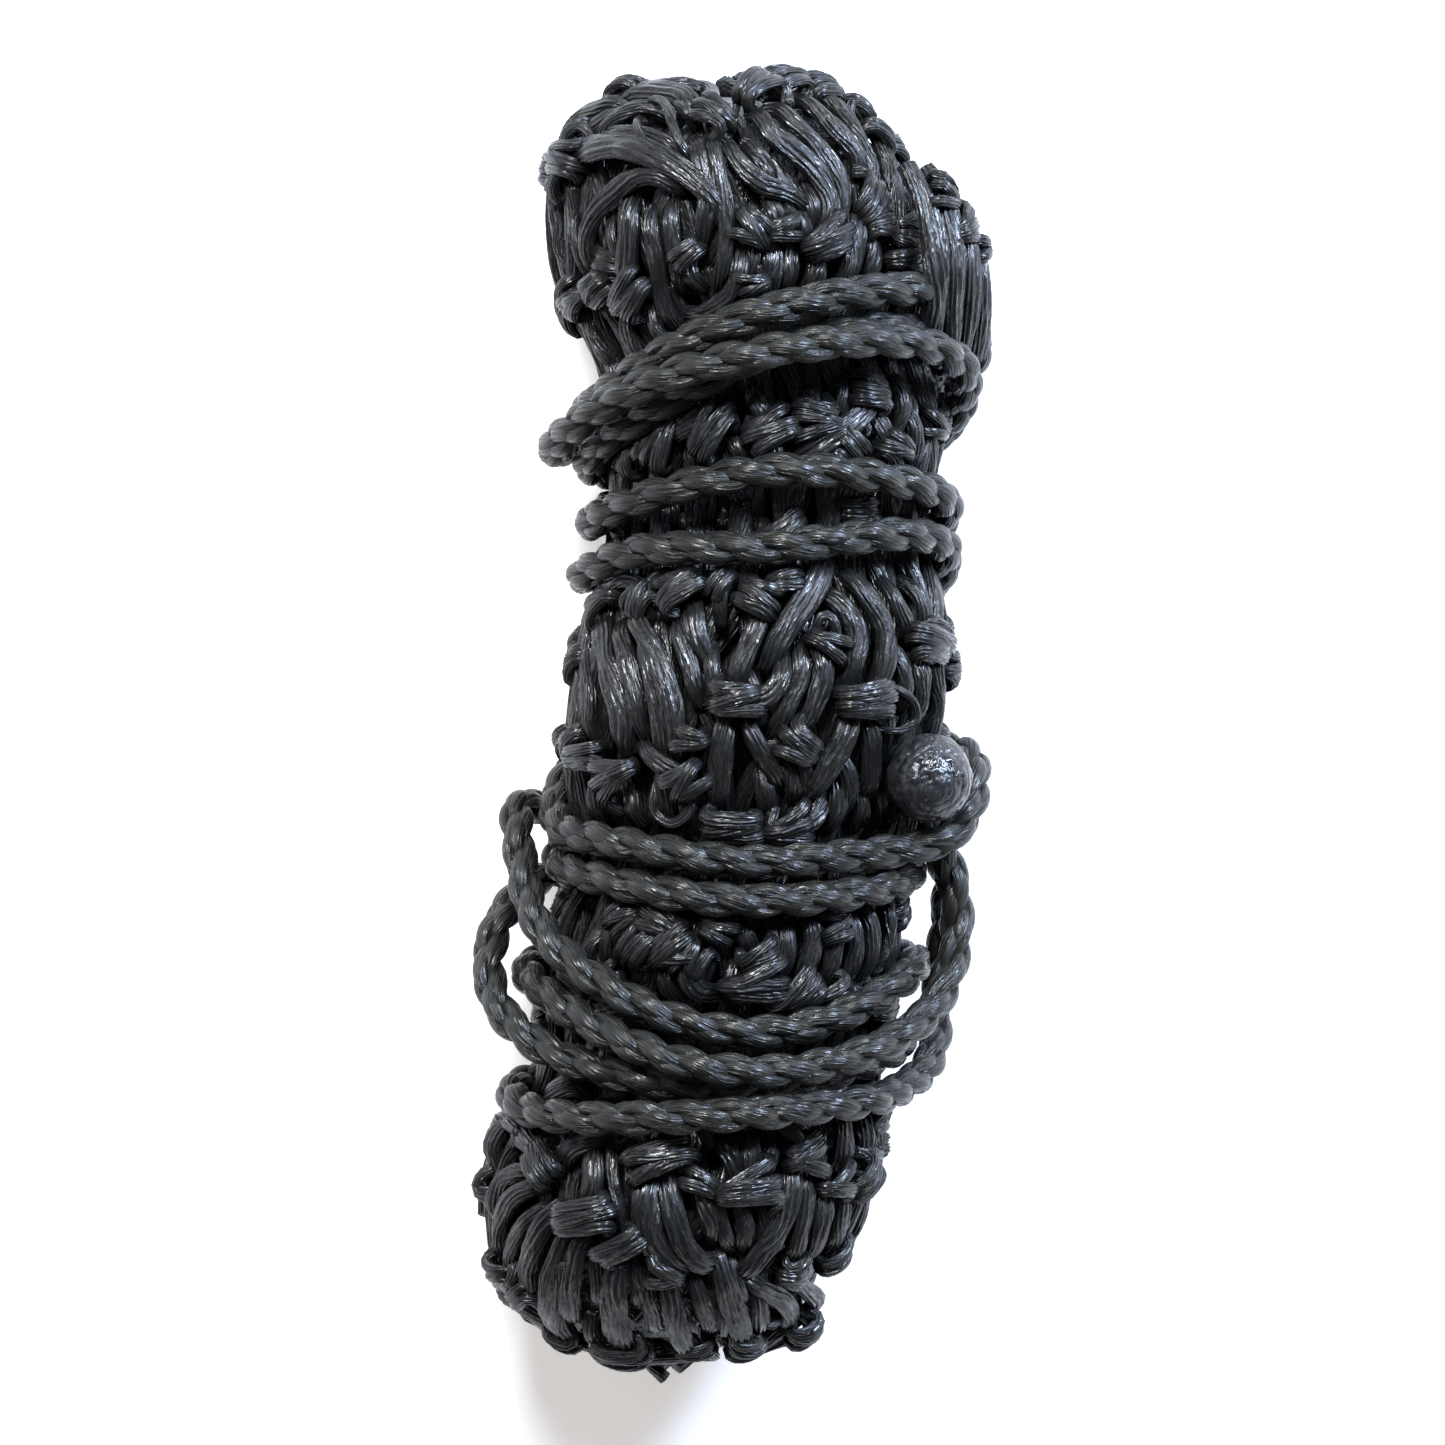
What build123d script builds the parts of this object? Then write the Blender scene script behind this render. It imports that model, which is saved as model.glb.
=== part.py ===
"""A knotted hay net, folded into a long roll and tied with its own doubled drawcord.

The roll lies on its back: +Y runs from the foot to the head, +X to the right and +Z up, away from the
surface that it rests on. The origin is under the middle of the whole object, on that surface. Millimetres.
"""
from build123d import *
import math
import os

# Driving dimensions
cord_diameter = 6.2
cord_clearance = 1.0
cord_radius = cord_diameter / 2
side_centre = 1.6  # puts the origin under the middle of the object's width
largest_step = 24.0  # degrees of winding between two route points
arc_per_degree = 0.6  # how far the cord travels for each degree of winding, nearly

knob_radius = 7.9
knob_centre = (36.3, -9.8, 49.5)
knob_flat_radius = 4.2  # the flat that the ball leaves on the fused neck
neck_bottom = 28.6
pocket_clearance = 0.6

# The roll's cross-sections: where along it, then its left, right, bottom and top.
stations = [
    (117.6, -4.0, 7.0, 24.0, 33.0),
    (116.2, -13.5, 15.0, 16.0, 42.0),
    (113.0, -22.5, 22.5, 8.0, 50.0),
    (107.0, -29.0, 28.5, 1.0, 57.0),
    (98.0, -31.5, 33.0, -2.0, 60.5),
    (88.0, -31.5, 35.5, -2.5, 61.5),
    (79.0, -30.0, 36.5, -2.0, 60.5),
    (71.0, -26.5, 35.5, 2.5, 57.5),
    (63.0, -22.8, 37.0, 7.4, 55.0),
    (55.0, -21.0, 39.0, 7.6, 55.0),
    (47.0, -21.0, 38.2, 7.6, 55.6),
    (38.0, -20.8, 36.4, 7.6, 55.0),
    (30.0, -21.0, 36.4, 7.6, 55.0),
    (22.0, -24.0, 39.0, 7.4, 58.0),
    (11.0, -27.0, 40.0, 7.4, 60.0),
    (0.0, -28.5, 39.0, 7.4, 60.0),
    (-9.0, -28.2, 36.0, 7.4, 58.5),
    (-17.0, -27.0, 32.5, 7.6, 56.0),
    (-25.0, -26.4, 30.0, 8.0, 54.5),
    (-33.0, -29.0, 31.0, 7.8, 55.5),
    (-42.0, -31.5, 31.0, 8.0, 55.5),
    (-52.0, -32.5, 29.2, 8.0, 54.0),
    (-61.0, -33.0, 27.8, 8.0, 52.5),
    (-67.0, -34.5, 27.6, 8.0, 53.0),
    (-73.0, -40.0, 29.0, 3.0, 56.0),
    (-81.0, -43.8, 28.0, -1.5, 58.5),
    (-89.0, -44.2, 25.4, -2.5, 58.5),
    (-97.0, -43.0, 21.5, -2.0, 56.0),
    (-105.0, -39.5, 17.0, 0.5, 51.5),
    (-111.0, -33.0, 11.5, 6.0, 45.0),
    (-115.0, -24.0, 4.0, 14.0, 37.0),
    (-117.6, -13.0, -3.0, 21.0, 30.0),
]

# The lap that hangs out beside the head fold: where along it, then its half-width and half-height.
side_fold_stations = [
    (74.5, 1.0, 4.0),
    (76.5, 3.0, 8.6),
    (81.0, 4.6, 13.0),
    (87.0, 4.6, 13.5),
    (92.5, 3.4, 10.0),
    (95.5, 1.0, 4.5),
]
side_fold_height = 25.0

# Which stretch of the roll each fold or lap of the netting covers, from its head end to its foot end.
laps = {
    "net_head_fold": (117.6, 63.0),
    "net_upper_lap": (63.0, 38.0),
    "net_middle_lap": (38.0, -25.0),
    "net_lower_lap": (-25.0, -61.0),
    "net_foot_fold": (-61.0, -117.6),
}

# The drawcord's two legs, wound side by side. Each row is a clock angle in degrees (180 left edge,
# 90 front, 0 right edge, -90 back, then on round), a place along the roll and how far the cord stands
# off the netting. The winding between two rows is worked out by wound_points.
leg_a_winding = [
    (208, 60.6, -5.5),
    (197, 59.4, -1.8),
    (180, 56.0, 0.0),
    (157, 57.4, 0.0),
    (135, 61.8, 0.0),
    (90, 71.4, 2.6),
    (45, 76.8, 1.2),
    (14, 75.2, 2.6),
    (-3, 70.4, 6.2),
    (-18, 65.4, 7.0),
    (-36, 60.6, 6.4),
    (-58, 55.4, 1.6),
    (-90, 49.0, 0.0),
    (-135, 41.0, 0.0),
    (-180, 35.5, 0.0),
    (-225, 39.5, 0.0),
    (-270, 44.6, 0.0),
    (-315, 42.6, 0.0),
    (-360, 38.5, 0.0),
    (-405, 28.0, 0.0),
    (-450, 15.0, 0.0),
    (-495, -1.5, 0.0),
    (-520, -11.0, 0.0),
    (-540, -17.0, 0.0),
    (-562, -20.2, 0.0),
    (-585, -20.8, 0.0),
    (-630, -24.6, 0.0),
    (-672, -23.4, 0.6),
]
# Up round the outside of the knob and behind the roll, in x, y and z.
leg_a_round_knob = [
    (33.8, -22.4, 46.2),
    (39.4, -21.0, 45.2),
    (43.2, -17.0, 42.6),
    (44.9, -11.8, 38.4),
    (44.9, -7.0, 32.8),
    (42.6, -4.6, 26.2),
]
leg_a_lower_winding = [
    (-748, -5.0, 0.0),
    (-768, -6.6, 0.0),
    (-790, -8.4, 0.0),
    (-812, -11.0, 0.0),
    (-832, -15.0, 1.8),
    (-848, -18.0, 5.6),
    (-861, -18.0, 6.9),
    (-874, -15.6, 7.0),
    (-887, -14.4, 6.9),
    (-897, -17.8, 6.9),
    (-904, -23.2, 6.7),
    (-912, -29.8, 4.8),
    (-925, -36.6, 2.6),
    (-942, -43.0, 0.4),
    (-966, -50.0, 0.0),
    (-990, -54.6, 0.0),
    (-1014, -54.6, 0.0),
    (-1038, -50.5, 0.0),
    (-1062, -45.6, 0.0),
    (-1085, -43.0, 0.0),
    (-1125, -42.0, 0.0),
    (-1170, -41.5, 0.0),
    (-1215, -42.0, 0.0),
    (-1260, -44.4, 0.0),
    (-1290, -48.6, 0.0),
    (-1320, -55.0, 2.0),
    (-1350, -61.0, 6.1),
    (-1374, -61.4, 6.4),
    (-1398, -57.2, 6.6),
    (-1415, -52.4, 6.7),
    (-1427, -46.6, 6.8),
]
# The loose bight at the right, then up behind the wraps into the knob's neck.
leg_a_to_knob = [
    (41.6, -40.0, 36.6),
    (41.9, -33.4, 35.4),
    (40.8, -27.4, 35.8),
    (38.8, -22.2, 37.2),
    (36.9, -17.8, 38.0),
    (36.3, -13.4, 38.2),
]

leg_b_winding = [
    (226, 46.0, -5.5),
    (212, 45.6, -1.5),
    (180, 46.4, 0.0),
    (135, 54.2, 0.0),
    (90, 65.0, -0.2),
    (45, 70.2, 0.0),
    (22, 69.0, 0.0),
    (0, 66.4, 0.0),
    (-45, 64.2, 0.0),
    (-90, 61.0, 0.0),
    (-135, 55.0, 0.6),
    (-156, 51.4, 5.0),
    (-180, 48.4, 6.8),
    (-202, 51.6, 6.6),
    (-225, 57.0, 6.4),
    (-247, 61.4, 6.6),
    (-270, 64.8, 6.7),
    (-292, 66.8, 6.6),
    (-315, 67.4, 6.4),
    (-338, 64.2, 5.2),
    (-360, 59.2, 1.2),
    (-405, 48.0, 0.0),
    (-450, 36.0, 0.0),
    (-495, 29.0, 0.0),
    (-540, 26.0, 0.0),
    (-585, 30.6, 0.0),
    (-630, 30.6, 0.0),
    (-675, 33.6, 0.0),
    (-720, 31.0, 0.0),
    (-765, 19.6, 0.0),
    (-810, 5.0, 0.0),
    (-855, -12.5, 0.0),
    (-880, -20.6, 0.0),
    (-900, -24.8, 0.0),
    (-945, -27.8, 0.0),
    (-990, -31.4, 0.0),
    (-1035, -30.0, 0.0),
    (-1080, -26.8, 0.0),
    (-1125, -25.8, 0.0),
    (-1170, -25.8, 0.0),
    (-1215, -26.4, 2.6),
    (-1240, -28.6, 5.4),
    (-1254, -33.6, 6.8),
    (-1263, -40.4, 7.4),
    (-1272, -47.4, 7.0),
    (-1284, -53.8, 5.4),
    (-1302, -59.2, 2.8),
    (-1326, -63.0, 0.6),
    (-1350, -64.6, 0.0),
    (-1395, -61.6, 0.0),
    (-1440, -57.2, 0.0),
    (-1485, -57.4, 0.0),
    (-1530, -60.0, 0.0),
    (-1575, -63.6, 0.0),
    (-1620, -66.2, 0.4),
    (-1665, -69.8, 1.8),
    (-1710, -68.8, 5.6),
    (-1755, -67.0, 4.6),
    (-1782, -65.2, 2.2),
    (-1800, -62.6, 5.0),
    (-1812, -57.6, 7.0),
    (-1818, -50.6, 7.2),
    (-1820, -43.0, 7.2),
    (-1818, -35.6, 7.2),
    (-1814, -28.8, 7.6),
]
# Along the lower right edge into the knob's neck, under the other leg.
leg_b_to_knob = [
    (38.6, -22.8, 29.6),
    (36.9, -18.0, 31.4),
    (36.3, -13.4, 31.8),
]


def eased(before, start, end, after, place):
    """A value between start and end on a cubic through four (position, value) rows."""
    span = end[0] - start[0]
    slope_start = (end[1] - before[1]) / (end[0] - before[0])
    slope_end = (after[1] - start[1]) / (after[0] - start[0])
    t = (place - start[0]) / span
    return (
        (2 * t**3 - 3 * t**2 + 1) * start[1]
        + (t**3 - 2 * t**2 + t) * span * slope_start
        + (3 * t**2 - 2 * t**3) * end[1]
        + (t**3 - t**2) * span * slope_end
    )


def curve_value(rows, place):
    """The value at a place on the smooth curve through (position, value) rows, in order of position."""
    last = len(rows) - 1
    index = 0
    while index < last - 1 and (place - rows[index + 1][0]) * (rows[last][0] - rows[0][0]) > 0:
        index += 1
    start, end = rows[index], rows[index + 1]
    before = rows[index - 1] if index > 0 else (2 * start[0] - end[0], 2 * start[1] - end[1])
    after = rows[index + 2] if index < last - 1 else (2 * end[0] - start[0], 2 * end[1] - start[1])
    return eased(before, start, end, after, place)


def roll_edges(along):
    """The roll's left, right, bottom and top at a place along it."""
    return [curve_value([(row[0], row[column]) for row in stations], along) for column in (1, 2, 3, 4)]


def beside_roll(angle, along, stand_off):
    """A point of a cord's centre line laid on the roll."""
    left, right, bottom, top = roll_edges(along)
    reach = cord_radius + cord_clearance + stand_off
    turn = math.radians(angle)
    return Vector(
        (left + right) / 2 + ((right - left) / 2 + reach) * math.cos(turn),
        along,
        (bottom + top) / 2 + ((top - bottom) / 2 + reach) * math.sin(turn),
    )


def wound_points(rows):
    """The route's points along a winding: its rows, and evenly spaced points between rows far apart."""
    travelled = [0.0]
    for row, following in zip(rows, rows[1:]):
        around = (row[0] - following[0]) * arc_per_degree
        travelled.append(travelled[-1] + math.hypot(around, row[1] - following[1]))
    heights = [(place, row[1]) for place, row in zip(travelled, rows)]
    stand_offs = [(place, row[2]) for place, row in zip(travelled, rows)]
    points = []
    for index, (row, following) in enumerate(zip(rows, rows[1:])):
        count = math.ceil(abs(row[0] - following[0]) / largest_step)
        for step in range(count):
            angle = row[0] + (following[0] - row[0]) * step / count
            place = travelled[index] + (travelled[index + 1] - travelled[index]) * step / count
            points.append(beside_roll(angle, curve_value(heights, place), curve_value(stand_offs, place)))
    points.append(beside_roll(*rows[-1]))
    return points


def bend_radii(points):
    """The largest tangent arc for each corner that leaves a straight piece in the middle of each run."""
    radii = []
    for before, corner, after in zip(points, points[1:], points[2:]):
        run_in = corner - before
        run_out = after - corner
        half_turn = math.radians(run_in.get_angle(run_out)) / 2
        radii.append(0.45 * min(run_in.length, run_out.length) / math.tan(half_turn))
    return radii


def cord_tube(name, points, radius=cord_radius):
    """A round tube along straight runs joined by tangent arcs."""
    radii = bend_radii(points)
    path = FilletPolyline(*points, radius=radii)
    tube = sweep(Plane(path @ 0, z_dir=path % 0) * Circle(radius), path=path)
    print(
        f"{name}: {len(points)} points, length {path.length:.0f}, radii {min(radii):.1f} to {max(radii):.0f},"
        f" volume over section times length {tube.volume / (math.pi * radius**2 * path.length):.4f}"
    )
    return tube


def section(along, left, right, bottom, top):
    """One cross-section of the roll, facing the head."""
    plane = Plane(((left + right) / 2, along, (bottom + top) / 2), x_dir=(1, 0, 0), z_dir=(0, 1, 0))
    return plane * Ellipse((right - left) / 2, (top - bottom) / 2)


def below_surface():
    """Everything under the surface that the roll rests on, to flatten the netting there."""
    return Pos(0, 0, -50) * Box(400, 400, 100)


def net_lap(head_end, foot_end):
    """One stretch of the rolled netting, as a plain solid."""
    rows = [row for row in stations if foot_end <= row[0] <= head_end]
    return loft([section(*row) for row in reversed(rows)]) - below_surface()


def side_fold():
    """The lap of netting that hangs out beside the head fold, at the right."""
    sections = []
    for along, half_width, half_height in side_fold_stations:
        centre = roll_edges(along)[1] + cord_clearance + half_width
        plane = Plane((centre, along, side_fold_height), x_dir=(1, 0, 0), z_dir=(0, 1, 0))
        sections.append(plane * Ellipse(half_width, half_height))
    return loft(sections)


def knob_pocket():
    """The room that the knob, its neck and the two cord ends take up in the soft netting."""
    x, y, z = knob_centre
    wide = knob_radius + pocket_clearance
    pocket = Pos(x, y, z) * Sphere(wide)
    pocket += Pos(x, y, z + 10) * Cylinder(wide, 20)
    pocket += Pos(x, y, (z + neck_bottom) / 2 - 1) * Cylinder(knob_flat_radius + 1, z - neck_bottom + 2)
    pocket += Pos(x + 3, y - 6, 35) * Box(6 + cord_diameter + 1, 14, 2 * cord_diameter + 3)
    return pocket


def stop_knob():
    """The ball of melted cord ends, flat where its neck begins."""
    x, y, z = knob_centre
    flat_depth = math.sqrt(knob_radius**2 - knob_flat_radius**2)
    below = Pos(x, y, z - flat_depth - knob_radius) * Box(*[2 * knob_radius] * 3)
    return Pos(x, y, z) * Sphere(knob_radius) - below


def knob_neck():
    """The fused stub under the ball that both cord ends run into."""
    x, y, z = knob_centre
    top = z - math.sqrt(knob_radius**2 - knob_flat_radius**2)
    return Pos(x, y, (top + neck_bottom) / 2) * Cylinder(knob_flat_radius, top - neck_bottom)


def exit_channel(points):
    """The gap between the meshes where a cord leg comes out of the netting."""
    start, end = points[0], points[3]
    line = Line(start - (end - start).normalized() * 2, end)
    return sweep(Plane(line @ 0, z_dir=line % 0) * Circle(cord_radius + 1.2), path=line)


leg_a = (
    wound_points(leg_a_winding)
    + [Vector(*point) for point in leg_a_round_knob]
    + wound_points(leg_a_lower_winding)
    + [Vector(*point) for point in leg_a_to_knob]
)
leg_b = wound_points(leg_b_winding) + [Vector(*point) for point in leg_b_to_knob]

nodes = {name: net_lap(*span) for name, span in laps.items()}
nodes["net_side_fold"] = side_fold()
nodes["net_middle_lap"] -= knob_pocket()
for lap in ("net_head_fold", "net_upper_lap"):
    nodes[lap] -= exit_channel(leg_a) + exit_channel(leg_b)
nodes["drawcord_leg_a"] = cord_tube("drawcord_leg_a", leg_a)
nodes["drawcord_leg_b"] = cord_tube("drawcord_leg_b", leg_b)
nodes["knob_neck"] = knob_neck()
nodes["stop_knob"] = stop_knob()

os.makedirs("parts", exist_ok=True)
for name, shape in nodes.items():
    export_step(Pos(-side_centre, 0, 0) * shape, f"parts/{name}.step")
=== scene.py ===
"""A knotted hay net, folded into a long roll and tied with its own doubled drawcord, under soft studio light.

Everything is in metres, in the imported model's frame: +Y runs from the roll's foot to its head, +X to the
right and +Z up. The roll lies on its back, so its front faces up.
"""
import math

import bpy
import numpy as np
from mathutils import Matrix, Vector


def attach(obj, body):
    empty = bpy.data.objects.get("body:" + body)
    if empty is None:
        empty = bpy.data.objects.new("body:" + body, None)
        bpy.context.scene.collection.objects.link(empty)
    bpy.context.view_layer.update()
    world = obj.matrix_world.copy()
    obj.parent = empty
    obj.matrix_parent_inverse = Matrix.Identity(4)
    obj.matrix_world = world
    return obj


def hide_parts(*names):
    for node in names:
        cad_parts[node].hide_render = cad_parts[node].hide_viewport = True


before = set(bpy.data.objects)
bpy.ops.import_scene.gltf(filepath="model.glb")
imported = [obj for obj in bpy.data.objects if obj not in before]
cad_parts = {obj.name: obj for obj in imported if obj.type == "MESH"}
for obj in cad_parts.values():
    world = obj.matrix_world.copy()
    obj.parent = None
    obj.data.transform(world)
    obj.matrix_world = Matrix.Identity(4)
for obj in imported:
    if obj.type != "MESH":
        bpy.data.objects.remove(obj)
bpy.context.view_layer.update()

# Driving dimensions, as the frame has them
cord_diameter = 0.0062
cord_clearance = 0.0010
cord_radius = cord_diameter / 2
side_centre = 0.0016  # the frame's origin is under the middle of the object's width
largest_step = 24.0  # degrees of winding between two route points
arc_per_degree = 0.0006  # how far the cord travels for each degree of winding, nearly

# The roll's cross-sections: where along it, then its left, right, bottom and top.
stations = [
    (0.1176, -0.0040, 0.0070, 0.0240, 0.0330),
    (0.1162, -0.0135, 0.0150, 0.0160, 0.0420),
    (0.1130, -0.0225, 0.0225, 0.0080, 0.0500),
    (0.1070, -0.0290, 0.0285, 0.0010, 0.0570),
    (0.0980, -0.0315, 0.0330, -0.0020, 0.0605),
    (0.0880, -0.0315, 0.0355, -0.0025, 0.0615),
    (0.0790, -0.0300, 0.0365, -0.0020, 0.0605),
    (0.0710, -0.0265, 0.0355, 0.0025, 0.0575),
    (0.0630, -0.0228, 0.0370, 0.0074, 0.0550),
    (0.0550, -0.0210, 0.0390, 0.0076, 0.0550),
    (0.0470, -0.0210, 0.0382, 0.0076, 0.0556),
    (0.0380, -0.0208, 0.0364, 0.0076, 0.0550),
    (0.0300, -0.0210, 0.0364, 0.0076, 0.0550),
    (0.0220, -0.0240, 0.0390, 0.0074, 0.0580),
    (0.0110, -0.0270, 0.0400, 0.0074, 0.0600),
    (0.0000, -0.0285, 0.0390, 0.0074, 0.0600),
    (-0.0090, -0.0282, 0.0360, 0.0074, 0.0585),
    (-0.0170, -0.0270, 0.0325, 0.0076, 0.0560),
    (-0.0250, -0.0264, 0.0300, 0.0080, 0.0545),
    (-0.0330, -0.0290, 0.0310, 0.0078, 0.0555),
    (-0.0420, -0.0315, 0.0310, 0.0080, 0.0555),
    (-0.0520, -0.0325, 0.0292, 0.0080, 0.0540),
    (-0.0610, -0.0330, 0.0278, 0.0080, 0.0525),
    (-0.0670, -0.0345, 0.0276, 0.0080, 0.0530),
    (-0.0730, -0.0400, 0.0290, 0.0030, 0.0560),
    (-0.0810, -0.0438, 0.0280, -0.0015, 0.0585),
    (-0.0890, -0.0442, 0.0254, -0.0025, 0.0585),
    (-0.0970, -0.0430, 0.0215, -0.0020, 0.0560),
    (-0.1050, -0.0395, 0.0178, 0.0005, 0.0515),
    (-0.1110, -0.0330, 0.0150, 0.0060, 0.0450),
    (-0.1150, -0.0240, 0.0040, 0.0140, 0.0370),
    (-0.1176, -0.0130, -0.0030, 0.0210, 0.0300),
]

# The drawcord's two legs, from the mouth of the net to the knob. A winding's rows: the clock angle in degrees
# (180 the left edge, 90 the front, 0 the right edge, and so on round the back), the place along the roll,
# and how far the cord stands off it. The other rows are x, y and z.
leg_a_winding = [
    (208, 0.0606, -0.0055),
    (197, 0.0594, -0.0018),
    (180, 0.0560, 0.0000),
    (157, 0.0574, 0.0000),
    (135, 0.0618, 0.0000),
    (90, 0.0714, 0.0026),
    (45, 0.0768, 0.0012),
    (14, 0.0752, 0.0026),
    (-3, 0.0704, 0.0062),
    (-18, 0.0654, 0.0070),
    (-36, 0.0606, 0.0064),
    (-58, 0.0554, 0.0016),
    (-90, 0.0490, 0.0000),
    (-135, 0.0410, 0.0000),
    (-180, 0.0355, 0.0000),
    (-225, 0.0395, 0.0000),
    (-270, 0.0446, 0.0000),
    (-315, 0.0426, 0.0000),
    (-360, 0.0385, 0.0000),
    (-405, 0.0280, 0.0000),
    (-450, 0.0150, 0.0000),
    (-495, -0.0015, 0.0000),
    (-520, -0.0110, 0.0000),
    (-540, -0.0170, 0.0000),
    (-562, -0.0202, 0.0000),
    (-585, -0.0208, 0.0000),
    (-630, -0.0246, 0.0000),
    (-672, -0.0234, 0.0006),
]
leg_a_round_knob = [
    (0.0338, -0.0224, 0.0462),
    (0.0394, -0.0210, 0.0452),
    (0.0432, -0.0170, 0.0426),
    (0.0449, -0.0118, 0.0384),
    (0.0449, -0.0070, 0.0328),
    (0.0426, -0.0046, 0.0262),
]
leg_a_lower_winding = [
    (-748, -0.0050, 0.0000),
    (-768, -0.0066, 0.0000),
    (-790, -0.0084, 0.0000),
    (-812, -0.0110, 0.0000),
    (-832, -0.0150, 0.0018),
    (-848, -0.0180, 0.0056),
    (-861, -0.0180, 0.0069),
    (-874, -0.0156, 0.0070),
    (-887, -0.0144, 0.0069),
    (-897, -0.0178, 0.0069),
    (-904, -0.0232, 0.0067),
    (-912, -0.0298, 0.0048),
    (-925, -0.0366, 0.0026),
    (-942, -0.0430, 0.0004),
    (-966, -0.0500, 0.0000),
    (-990, -0.0546, 0.0000),
    (-1014, -0.0546, 0.0000),
    (-1038, -0.0505, 0.0000),
    (-1062, -0.0456, 0.0000),
    (-1085, -0.0430, 0.0000),
    (-1125, -0.0420, 0.0000),
    (-1170, -0.0415, 0.0000),
    (-1215, -0.0420, 0.0000),
    (-1260, -0.0444, 0.0000),
    (-1290, -0.0486, 0.0000),
    (-1320, -0.0550, 0.0020),
    (-1350, -0.0610, 0.0061),
    (-1374, -0.0614, 0.0064),
    (-1398, -0.0572, 0.0066),
    (-1415, -0.0524, 0.0067),
    (-1427, -0.0466, 0.0068),
]
leg_a_to_knob = [
    (0.0416, -0.0400, 0.0366),
    (0.0419, -0.0334, 0.0354),
    (0.0408, -0.0274, 0.0358),
    (0.0388, -0.0222, 0.0372),
    (0.0369, -0.0178, 0.0380),
    (0.0363, -0.0134, 0.0382),
]
leg_b_winding = [
    (226, 0.0460, -0.0055),
    (212, 0.0456, -0.0015),
    (180, 0.0464, 0.0000),
    (135, 0.0542, 0.0000),
    (90, 0.0650, -0.0002),
    (45, 0.0702, 0.0000),
    (22, 0.0690, 0.0000),
    (0, 0.0664, 0.0000),
    (-45, 0.0642, 0.0000),
    (-90, 0.0610, 0.0000),
    (-135, 0.0550, 0.0006),
    (-156, 0.0514, 0.0050),
    (-180, 0.0484, 0.0068),
    (-202, 0.0516, 0.0066),
    (-225, 0.0570, 0.0064),
    (-247, 0.0614, 0.0066),
    (-270, 0.0648, 0.0067),
    (-292, 0.0668, 0.0066),
    (-315, 0.0674, 0.0064),
    (-338, 0.0642, 0.0052),
    (-360, 0.0592, 0.0012),
    (-405, 0.0480, 0.0000),
    (-450, 0.0360, 0.0000),
    (-495, 0.0290, 0.0000),
    (-540, 0.0260, 0.0000),
    (-585, 0.0306, 0.0000),
    (-630, 0.0306, 0.0000),
    (-675, 0.0336, 0.0000),
    (-720, 0.0310, 0.0000),
    (-765, 0.0196, 0.0000),
    (-810, 0.0050, 0.0000),
    (-855, -0.0125, 0.0000),
    (-880, -0.0206, 0.0000),
    (-900, -0.0248, 0.0000),
    (-945, -0.0278, 0.0000),
    (-990, -0.0314, 0.0000),
    (-1035, -0.0300, 0.0000),
    (-1080, -0.0268, 0.0000),
    (-1125, -0.0258, 0.0000),
    (-1170, -0.0258, 0.0000),
    (-1215, -0.0264, 0.0026),
    (-1240, -0.0286, 0.0054),
    (-1254, -0.0336, 0.0068),
    (-1263, -0.0404, 0.0074),
    (-1272, -0.0474, 0.0070),
    (-1284, -0.0538, 0.0054),
    (-1302, -0.0592, 0.0028),
    (-1326, -0.0630, 0.0006),
    (-1350, -0.0646, 0.0000),
    (-1395, -0.0616, 0.0000),
    (-1440, -0.0572, 0.0000),
    (-1485, -0.0574, 0.0000),
    (-1530, -0.0600, 0.0000),
    (-1575, -0.0636, 0.0000),
    (-1620, -0.0662, 0.0004),
    (-1665, -0.0698, 0.0018),
    (-1710, -0.0688, 0.0056),
    (-1755, -0.0670, 0.0046),
    (-1782, -0.0652, 0.0022),
    (-1800, -0.0626, 0.0050),
    (-1812, -0.0576, 0.0070),
    (-1818, -0.0506, 0.0072),
    (-1820, -0.0430, 0.0072),
    (-1818, -0.0356, 0.0072),
    (-1814, -0.0288, 0.0076),
]
leg_b_to_knob = [
    (0.0386, -0.0228, 0.0296),
    (0.0369, -0.0180, 0.0314),
    (0.0363, -0.0134, 0.0318),
]

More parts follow.
